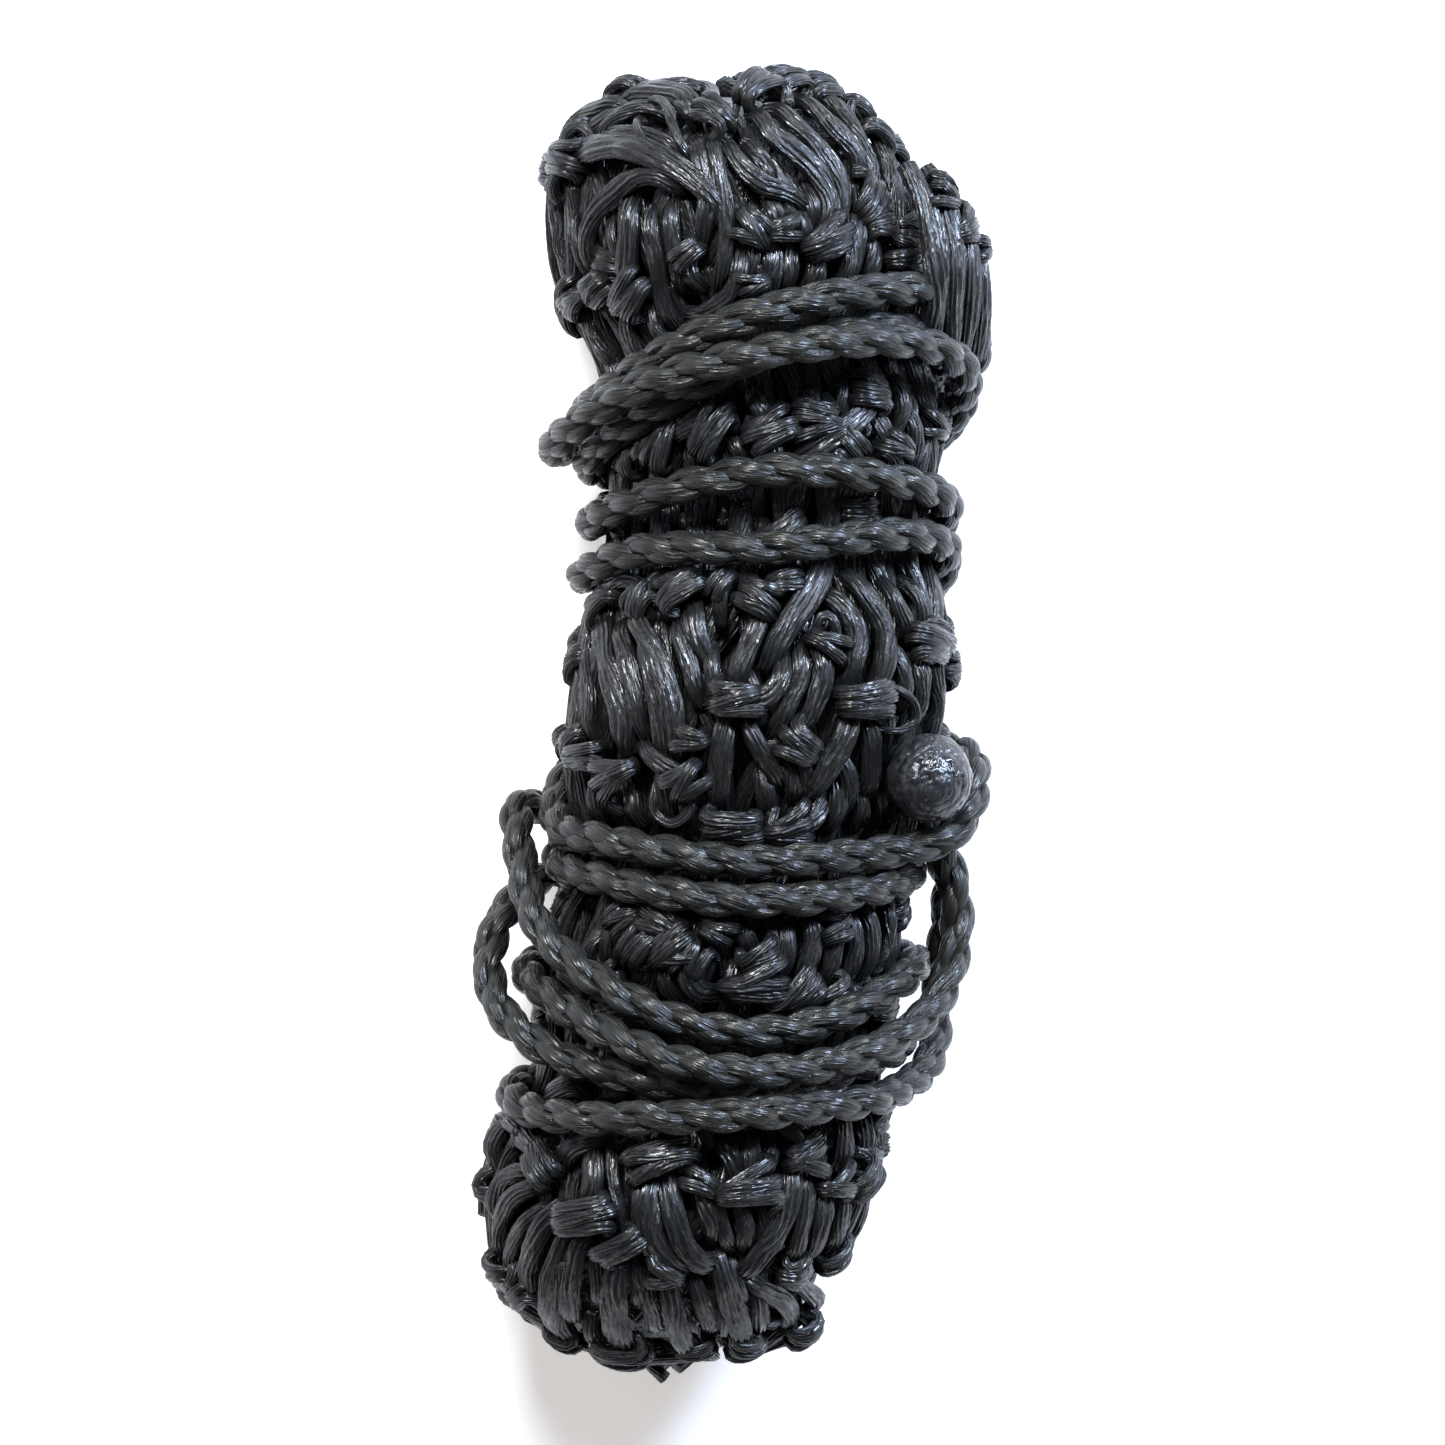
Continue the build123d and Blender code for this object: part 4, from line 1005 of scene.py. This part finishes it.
def netting(layers, material):
    """All the netting, gathered into one piece for each lap and depth, named after them."""
    gathered = {}

    def bundle_for(depth):
        def choose(point):
            return gathered.setdefault(f"{lap_of(point)}_{depth}", Bundle())

        return choose

    for depth, columns, lift, turn, knotted, seed in layers:
        random = np.random.default_rng(seed)

        def place(column, distance, columns=columns, lift=lift, turn=turn):
            angle = turn + column * 360 / columns
            facing_front = max(math.sin(math.radians(angle)), 0)
            closeness = side_closeness + (1 - side_closeness) * facing_front
            return around_roll(angle, body_head - distance, lift * closeness)

        keep = off_front if depth == "outer" else None
        rows = range(int((body_head - body_foot) / row_spacing))
        diamond_net(bundle_for(depth), place, (0, columns), rows, row_spacing, random, knotted, keep)
        for end in (1, -1):
            def over_end(column, distance, end=end, lift=lift):
                return places_on(end_line(end, column * end_pitch), [distance], lift - end_drop)[0]

            share = end_knotted * knotted
            diamond_net(bundle_for(depth), over_end, end_columns, end_rows, end_spacing, random, share, keep)
    front_netting(bundle_for("front"))
    side_fold(gathered.setdefault("net_side_fold_outer", Bundle()), gathered["net_head_fold_outer"])
    core_bundle(gathered)
    for name, bundle in gathered.items():
        piece = bundle.piece(name, material)
        node = name.rsplit("_", 1)[0]
        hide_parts(node)
        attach(piece, "net_roll")


def off_front(point):
    """Whether a point is off the roll's front, where every strand is placed one by one."""
    return outward(point[None, :])[0, 2] < front_edge


def front_netting(bundle_for):
    """The strands and knots placed one by one on the roll's front."""
    random = np.random.default_rng(31)
    for size, lift, places in front_strands:
        share = np.linspace(0, 1, len(places))
        lifts = lift * (0.35 + 0.65 * np.sin(np.pi * share)) - front_depth
        points = front_points([(x, y, z) for (x, y), z in zip(places, lifts)], strand_widest)
        middle = points[len(points) // 2]
        points = over_rim(over_rim(points, random)[::-1], random)[::-1]
        thickness = twine_half_thickness * min(max(size, 0.6), 1.1)
        net_strand(
            bundle_for(middle), points, random, front_width * twine_half_width * size, thickness,
            pinch=0.35, turn=0.2 * random.uniform(-1, 1), tuck=front_tuck, step=fine_step,
        )
    for places in side_strands:
        points = np.array(places)
        net_strand(bundle_for(points[2]), points, random, turn=0.2 * random.uniform(-1, 1))
    for x, y, slant, size, lift in front_knots:
        point = front_points([(x, y, lift - front_depth)], knot_widest)[0]
        net_knot(bundle_for(point), point, random, math.radians(slant), size, fine_step)


def over_rim(points, random):
    """The points, carried on over the head's or the foot's rim where the last of them comes close to it."""
    end = 1 if points[-1, 1] > 0 else -1
    if abs(points[-1, 1]) < abs(roll_head if end > 0 else roll_foot) - end_depth:
        return points
    line = end_line(end, points[-1, 0])
    travelled = lengths_along(line)
    rim = travelled[np.argmax(line[:, 1] * end)]
    here = travelled[np.argmin(np.linalg.norm(line - points[-1], axis=1))]
    if rim - here > rim_reach or here > rim:
        return points
    below = rim + random.uniform(0.5, 1.0) * below_rim
    return np.concatenate((points, places_on(line, np.linspace(here, below, 5)[1:], -front_depth)))


def end_line(end, x):
    """The line over the head (end 1) or the foot (end -1) at a set x, from the roll's front to its back."""
    tip = roll_head if end > 0 else roll_foot
    start = tip - end * end_depth
    along = np.linspace(start, tip, 160)
    left, right, bottom, top = roll_edges(along)
    middle = (left + right) / 2
    widest = 0.9 * (right[0] - left[0]) / 2
    x = middle[0] + np.clip(x, -widest, widest)
    wide = (x - middle) / ((right - left) / 2)
    inside = np.abs(wide) < 0.995
    reach = along[inside]
    half = (top - bottom)[inside] / 2 * np.sqrt(1 - wide[inside] ** 2)
    centre = ((top + bottom) / 2)[inside]
    front = np.stack((np.full_like(reach, x), reach, centre + half), axis=1)
    back = np.stack((np.full_like(reach, x), reach, centre - half), axis=1)[::-1]
    return np.concatenate((front, back))


def places_on(line, distances, lift):
    """Points at distances along a line on the roll, lifted off it."""
    travelled = lengths_along(line)
    points = np.stack([np.interp(distances, travelled, line[:, axis]) for axis in range(3)], axis=1)
    return points + outward(points) * lift


def side_fold(inner, outer):
    """The loose lap of netting that hangs out beside the head fold, under and over the drawcord."""
    random = np.random.default_rng(41)
    uneven = 0.0006
    for share in np.linspace(0, 1, side_fold_strands):
        height = side_fold_height + side_fold_half_height * (2 * share - 1)
        bulge = side_fold_bulge * math.sin(math.pi * (0.15 + 0.7 * share)) + random.uniform(-uneven, uneven)
        places = np.linspace(side_fold_head, side_fold_foot, 6) + random.uniform(-0.0010, 0.0010, 6)
        roll_right = roll_edges(places)[1]
        reach = bulge * np.sin(np.linspace(0.05, np.pi - 0.05, 6)) ** 0.6 + 0.0004
        points = np.stack((roll_right + reach, places, height + random.uniform(-uneven, uneven, 6)), axis=1)
        net_strand(inner, points, random, half_width=0.0021, turn=random.uniform(-0.3, 0.3))
    for points in side_lap_strands:
        points = np.array(points)
        core = points[:, None, :].mean(axis=0) * (0, 1, 0) + side_lap_core
        net_strand(
            outer, points, random, 0.0022, 0.0014, core=core, turn=random.uniform(-0.3, 0.3), press=False,
        )
    for point in side_lap_knots:
        net_knot(outer, point, random, random.uniform(-0.5, 0.5), 1.0)


def core_bundle(gathered):
    """The tightly packed netting deep inside, which only shows as darkness between the strands."""
    along = np.linspace(roll_foot + core_end, roll_head - core_end, 70)
    angles = np.linspace(0, 360, 48, endpoint=False)
    facing_front = np.clip(np.sin(np.radians(angles)), 0, 1)
    reach = -(core_side_depth + (core_depth - core_side_depth) * facing_front)
    for name, (head_end, foot_end) in lap_bounds.items():
        inside = along[(along >= foot_end) & (along <= head_end)]
        inside = np.linspace(inside[0] - core_overlap, inside[-1] + core_overlap, len(inside))
        rings = np.array([around_roll(angles, place, reach) for place in inside])
        rings[..., 2] = np.maximum(rings[..., 2], floor_gap)
        rings = rings[::-1]
        bundle = gathered.setdefault(f"{name}_under", Bundle())
        bundle.add(rings, np.radians(angles) * 0.03, inside, 0.5)


# --- The stop knob ------------------------------------------------------------------------------------

knob_centre = np.array([0.0363 - side_centre, -0.0098, 0.0495])
knob_radius = 0.0079
knob_flat_radius = 0.0042
neck_bottom = 0.0286
swirl_pitch = 0.0019
swirl_depth = 0.00024
swirl_warp = 3.4
lump_depth = 0.00025
fine_lump_depth = 0.00012


def lumps(directions, random, waves=7):
    """A soft random bumpiness over directions, from about -1 to 1."""
    total = np.zeros(directions.shape[:-1])
    for _ in range(waves):
        total += np.sin(directions @ random.normal(0, 2.6, 3) + random.uniform(0, 2 * np.pi))
    return total / math.sqrt(waves) * 0.7


def knob_piece(material):
    """The ball of melted cord ends, with the swirl that it was rolled to while it was soft."""
    random = np.random.default_rng(61)
    lowest = math.pi - math.asin(knob_flat_radius / knob_radius)
    polar = np.linspace(lowest, 0.015, 130)
    azimuth = np.linspace(0, 2 * np.pi, 144, endpoint=False)
    lean, turn = np.meshgrid(polar, azimuth, indexing="ij")
    direction = np.stack((np.sin(lean) * np.cos(turn), np.sin(lean) * np.sin(turn), np.cos(lean)), axis=-1)
    warp = lumps(direction, random)
    from_eye = np.arccos(np.clip(direction @ unit(np.array([0.16, -0.10, 1.0])), -1, 1))
    spiral = 2 * np.pi * from_eye * knob_radius / swirl_pitch + turn + swirl_warp * warp
    crease = np.abs(np.sin(spiral / 2)) ** 0.6 * (0.6 + 0.4 * lumps(direction, random))
    fade = np.clip((lowest - lean) / 0.5, 0, 1)
    dents = swirl_depth * crease + lump_depth * (lumps(direction, random) - 0.9)
    for fineness, share in ((3.5, 1.0), (8.0, 0.6)):
        dents = dents + share * fine_lump_depth * (lumps(direction * fineness, random, 12) - 0.5)
    bundle = Bundle()
    rings = knob_centre + direction * (knob_radius + fade * dents)[..., None]
    bundle.add(rings, spiral * 0.0002 + 0.002 * warp, (turn + 0.5 * warp) * np.sin(lean) * knob_radius, 0.5)
    piece = bundle.piece("melted_stop_knob", material)
    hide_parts("stop_knob")
    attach(piece, "stop_knob")


def neck_piece(material):
    """The fused stub under the ball that both cord ends run into."""
    random = np.random.default_rng(62)
    top = knob_centre[2] - math.sqrt(knob_radius**2 - knob_flat_radius**2)
    heights = np.linspace(neck_bottom, top - 0.0001, 24)
    azimuth = np.linspace(0, 2 * np.pi, 48, endpoint=False)
    high, turn = np.meshgrid(heights, azimuth, indexing="ij")
    direction = np.stack((np.cos(turn), np.sin(turn), (high - neck_bottom) * 160), axis=-1)
    radius = knob_flat_radius * (0.94 + 0.06 * lumps(direction, random))
    rounding = np.clip((high - neck_bottom) / 0.0012, 0.05, 1) ** 0.5
    rings = np.stack((np.cos(turn) * radius * rounding, np.sin(turn) * radius * rounding, high), axis=-1)
    rings[..., :2] += knob_centre[:2]
    bundle = Bundle()
    bundle.add(rings, azimuth * knob_flat_radius, heights, 0.3)
    piece = bundle.piece("fused_cord_neck", material)
    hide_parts("knob_neck")
    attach(piece, "net_roll")


# --- Materials ----------------------------------------------------------------------------------------


def new_material(name):
    """An empty node material, its nodes and its shader."""
    material = bpy.data.materials.new(name)
    material.use_nodes = True
    return material, material.node_tree, material.node_tree.nodes["Principled BSDF"]


def fibre_noise(tree, across, along, detail, seed):
    """Noise drawn out along the fibres: across and along are the size of its grain, in metres."""
    fibre = tree.nodes.new("ShaderNodeAttribute")
    fibre.attribute_name = "fibre"
    stretch = tree.nodes.new("ShaderNodeVectorMath")
    stretch.operation = "MULTIPLY"
    stretch.inputs[1].default_value = (1 / across, 1 / along, seed)
    noise = tree.nodes.new("ShaderNodeTexNoise")
    noise.inputs["Scale"].default_value = 1.0
    noise.inputs["Detail"].default_value = detail
    noise.inputs["Roughness"].default_value = 0.6
    tree.links.new(fibre.outputs["Vector"], stretch.inputs[0])
    tree.links.new(stretch.outputs["Vector"], noise.inputs["Vector"])
    return noise.outputs["Fac"]


def ramp(tree, value, stops):
    """A colour ramp over a value, from (place, colour) stops."""
    node = tree.nodes.new("ShaderNodeValToRGB")
    elements = node.color_ramp.elements
    while len(elements) < len(stops):
        elements.new(0.5)
    for element, (place, colour) in zip(elements, stops):
        element.position = place
        element.color = (*colour, 1)
    tree.links.new(value, node.inputs["Fac"])
    return node.outputs["Color"]


def mixed(tree, kind, factor, first, second):
    """Two colours put together by a Mix node."""
    node = tree.nodes.new("ShaderNodeMix")
    node.data_type = "RGBA"
    node.blend_type = kind
    node.inputs["Factor"].default_value = factor
    tree.links.new(first, node.inputs["A"])
    tree.links.new(second, node.inputs["B"])
    return node.outputs["Result"]


def bumped(tree, shader, layers):
    """Bumps on the shader's surface, from (height, strength, depth in metres) layers."""
    normal = None
    for height, strength, depth in layers:
        bump = tree.nodes.new("ShaderNodeBump")
        bump.inputs["Strength"].default_value = strength
        bump.inputs["Distance"].default_value = depth
        tree.links.new(height, bump.inputs["Height"])
        if normal is not None:
            tree.links.new(normal, bump.inputs["Normal"])
        normal = bump.outputs["Normal"]
    tree.links.new(normal, shader.inputs["Normal"])


def fibre_material(name, dark, middle, bright_fibre_and_glint, fibre_width, dash, gloss, sheen):
    """Glossy bundled plastic fibres, whose streaks run along the strands; the lightest streaks are partly the
    fibres' own tone and partly a painted glint.
    """
    material, tree, shader = new_material(name)
    fine = fibre_noise(tree, fibre_width, dash, 2.0, 41.0)
    sparkle = fibre_noise(tree, fibre_width * 0.55, dash * 0.5, 1.0, 67.0)
    broad = fibre_noise(tree, fibre_width * 3.0, dash * 2.2, 1.0, 83.0)
    # painted glint: the last, brightest colour falls on the highest and glossiest streaks, over the fibres'
    # own varied tone
    fibre_tone_and_glint = ramp(tree, fine, ((0.30, dark), (0.52, middle), (0.72, bright_fibre_and_glint)))
    strand_colour = ramp(tree, broad, ((0.30, (0.45, 0.45, 0.50)), (0.60, (1.0, 0.98, 0.92))))
    tree.links.new(mixed(tree, "MULTIPLY", 1.0, fibre_tone_and_glint, strand_colour), shader.inputs["Base Color"])
    rough = ramp(tree, fine, ((0.34, (gloss + 0.36,) * 3), (0.62, (gloss,) * 3)))
    tree.links.new(rough, shader.inputs["Roughness"])
    shader.inputs["Specular IOR Level"].default_value = 0.44
    shader.inputs["Sheen Weight"].default_value = sheen
    shader.inputs["Sheen Roughness"].default_value = 0.35
    shader.inputs["Sheen Tint"].default_value = (0.80, 0.88, 1.0, 1)
    bumped(tree, shader, ((broad, 0.8, 0.00050), (fine, 1.0, 0.00045), (sparkle, 0.8, 0.00016)))
    return material


def solid_noise(tree, size, detail):
    """Noise through the object itself, with a grain of that size in metres."""
    place = tree.nodes.new("ShaderNodeTexCoord")
    noise = tree.nodes.new("ShaderNodeTexNoise")
    noise.inputs["Scale"].default_value = 1 / size
    noise.inputs["Detail"].default_value = detail
    noise.inputs["Distortion"].default_value = 0.6
    tree.links.new(place.outputs["Object"], noise.inputs["Vector"])
    return noise.outputs["Fac"]


def melted_material():
    """Shiny melted plastic, with the drawn-out streaks of the swirl."""
    material, tree, shader = new_material("melted_cord_ends")
    streaks = fibre_noise(tree, 0.00040, 0.0050, 3.0, 17.0)
    dents = solid_noise(tree, 0.0026, 1.5)
    base = ramp(tree, streaks, ((0.30, (0.008, 0.008, 0.009)), (0.70, (0.030, 0.030, 0.031))))
    patch = ramp(tree, dents, ((0.35, (0.5, 0.5, 0.52)), (0.65, (1.0, 1.0, 1.0))))
    tree.links.new(mixed(tree, "MULTIPLY", 1.0, base, patch), shader.inputs["Base Color"])
    rough = ramp(tree, dents, ((0.35, (0.16,) * 3), (0.70, (0.34,) * 3)))
    tree.links.new(rough, shader.inputs["Roughness"])
    bumped(tree, shader, ((dents, 0.8, 0.00045), (streaks, 0.8, 0.00020)))
    return material


def stage_material():
    """A plain pale surface with a very faint grain, which glows everywhere as painted light: dimmer near the
    roll, where it lightens the roll's cast shadow, and fully far from it like a lit backdrop.
    """
    material, tree, shader = new_material("pale_stage")
    noise = tree.nodes.new("ShaderNodeTexNoise")
    noise.inputs["Scale"].default_value = 60.0
    colour = ramp(tree, noise.outputs["Fac"], ((0.3, (0.83, 0.83, 0.83)), (0.7, (0.86, 0.86, 0.86))))
    tree.links.new(colour, shader.inputs["Base Color"])
    shader.inputs["Roughness"].default_value = 0.9
    place = tree.nodes.new("ShaderNodeTexCoord")
    distance = tree.nodes.new("ShaderNodeVectorMath")
    distance.operation = "LENGTH"
    tree.links.new(place.outputs["Object"], distance.inputs[0])
    # painted light: the floor's own glow, at about half strength near the roll, lightens the roll's cast
    # shadow
    glow = ramp(tree, distance.outputs["Value"], ((0.25, (0.46, 0.43, 0.40)), (0.95, (1, 1, 1))))
    tree.links.new(glow, shader.inputs["Emission Color"])
    shader.inputs["Emission Strength"].default_value = 1.0
    return material


# --- Stage, lights and camera -------------------------------------------------------------------------


def stage():
    """The pale floor under the roll, with a low wall all round it."""
    half_side = 4.0
    wall_height = 0.9
    corners = [(x * half_side, y * half_side) for x, y in ((-1, -1), (1, -1), (1, 1), (-1, 1))]
    points = [(x, y, 0) for x, y in corners] + [(x, y, wall_height) for x, y in corners]
    faces = [(0, 1, 2, 3)] + [((k + 1) % 4, k, k + 4, (k + 1) % 4 + 4) for k in range(4)]
    mesh = bpy.data.meshes.new("stage")
    mesh.from_pydata(points, [], faces)
    mesh.materials.append(stage_material())
    thing = bpy.data.objects.new("stage", mesh)
    bpy.context.scene.collection.objects.link(thing)


def aimed(thing, place, target):
    """Puts a light or camera at a place, looking at a target."""
    thing.location = place
    direction = Vector(target) - Vector(place)
    thing.rotation_euler = direction.to_track_quat("-Z", "Y").to_euler()
    bpy.context.scene.collection.objects.link(thing)


def soft_light(name, place, size, power, colour):
    """A square soft light that looks at the roll."""
    light = bpy.data.lights.new(name, "AREA")
    light.shape = "SQUARE"
    light.size = size
    light.energy = power
    light.color = colour
    aimed(bpy.data.objects.new(name, light), place, (0, 0, 0.03))


def surroundings(brightness):
    """Even pale light from all round."""
    world = bpy.data.worlds.new("studio")
    world.use_nodes = True
    background = world.node_tree.nodes["Background"]
    background.inputs["Color"].default_value = (0.80, 0.85, 1.0, 1)
    background.inputs["Strength"].default_value = brightness
    bpy.context.scene.world = world


def camera():
    """The camera straight above the roll, with the view's middle a little left of the frame's origin."""
    lens = bpy.data.cameras.new("camera")
    lens.sensor_width = 36.0  # in millimetres, like the focal length
    view_width = 0.2601
    view_height = 0.035  # the height at which the view is that wide
    distance = 1.0
    lens.lens = lens.sensor_width * distance / view_width
    thing = bpy.data.objects.new("camera", lens)
    thing.location = (-0.00205, 0, view_height + distance)
    bpy.context.scene.collection.objects.link(thing)
    bpy.context.scene.camera = thing


# --- The whole net ------------------------------------------------------------------------------------

floor_gap = 0.0003  # how far everything stays above the floor
press_gap = 0.0002  # between the drawcord and the netting that it presses in
knob_clearance = 0.0009  # room for the knob's lumps as it twists

# Where each lap or fold of the netting ends, towards the head and towards the foot.
lap_bounds = {
    "net_head_fold": (0.120, 0.063),
    "net_upper_lap": (0.063, 0.038),
    "net_middle_lap": (0.038, -0.025),
    "net_lower_lap": (-0.025, -0.061),
    "net_foot_fold": (-0.061, -0.120),
}

row_spacing = 0.0215
body_head, body_foot = 0.100, -0.100
stray_across = 0.16  # how far a knot may lie off its place, in columns and in rows
stray_along = 0.22
strand_bow = 0.22  # in columns
strand_lift = 0.0008
under_knots = 0.0006

end_depth = 0.030  # how far from its tips the netting over the roll's ends begins
end_pitch = 0.0072
end_columns = (-4, 5)
end_rows = range(0, 6)
end_spacing = 0.0170
end_drop = 0.0022
end_knotted = 0.5

core_depth = 0.0095
core_side_depth = 0.0042
core_end = 0.0080
core_overlap = 0.001  # how far each lap's core runs into the next

side_fold_strands = 7
side_fold_height = 0.0250
side_fold_half_height = 0.0105
side_fold_bulge = 0.0066
side_fold_head, side_fold_foot = 0.0975, 0.0690
side_lap_core = np.array([0.0250, 0.0, 0.0250])

front_depth = 0.0008  # how far the middles of the front's strands lie under the roll's surface
front_tuck = 0.0026
front_width = 0.94  # width of the front's strands against the usual one
front_edge = 0.42  # where the front ends: how far outward may lean from straight up, as its z
strand_widest = 0.97  # how near the roll's edges the front's strands may come, and its knots
knot_widest = 0.92
fine_step = 0.0011  # for what the front shows close up
rim_reach = 0.010  # a strand that ends nearer than this to the rim goes on over it
below_rim = 0.013
side_closeness = 0.6  # depth of the inner layers at the roll's sides, against its front

# Layers of netting from the inside out: depth name, columns, lift off the roll, first angle, the share
# of crossings that show a knot, and a seed.
net_layers = [
    ("under", 18, -0.0066, 9.0, 0.0, 11),
    ("middle", 20, -0.0040, 3.0, 0.15, 12),
    ("outer", 23, -0.0010, 0.0, 1.0, 13),
]

# the third colour is partly the fibres' own lighter tone and partly a painted glint on their glossiest
# streaks
twine = fibre_material(
    "net_twine", (0.003, 0.003, 0.004), (0.006, 0.006, 0.006), (0.024, 0.023, 0.020),
    0.00060, 0.0042, 0.18, 0.02,
)
# the third colour is partly the fibres' own lighter tone and partly a painted glint on their glossiest
# streaks
cord_fibre = fibre_material(
    "drawcord_fibre", (0.003, 0.003, 0.003), (0.008, 0.008, 0.006), (0.030, 0.028, 0.020),
    0.00055, 0.0060, 0.20, 0.02,
)
melted = melted_material()

leg_a_route = (
    wound_points(leg_a_winding)
    + in_frame(leg_a_round_knob)
    + wound_points(leg_a_lower_winding)
    + in_frame(leg_a_to_knob)
)
leg_b_route = wound_points(leg_b_winding) + in_frame(leg_b_to_knob)

cord_lines = []
for name, route, length, seed in (
    ("drawcord_leg_a", leg_a_route, leg_a_length, 21),
    ("drawcord_leg_b", leg_b_route, leg_b_length, 22),
):
    leg, line = braided_cord(f"braided_{name}", route, cord_fibre, np.random.default_rng(seed))
    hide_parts(name)
    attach(leg, "net_roll")
    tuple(route[0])
    cord_lines.append(line)

hidden_start = 12  # the first points of each leg, which lie inside the netting
cord_samples = np.concatenate([line[hidden_start::2] for line in cord_lines])
knob_samples = knob_centre[None, :]

netting(net_layers, twine)
knob_piece(melted)
neck_piece(melted)

stage()
surroundings(0.13)
soft_light("overhead_softbox", (-0.11, 0.40, 0.60), 0.20, 8.4, (0.92, 0.95, 1.0))
soft_light("right_window", (0.46, 0.38, 0.46), 0.22, 12.2, (0.61, 0.75, 1.0))
soft_light("left_fill", (-1.2, 0.5, 0.9), 0.8, 4, (0.82, 0.88, 1.0))
camera()
bpy.context.scene.view_settings.view_transform = "Standard"
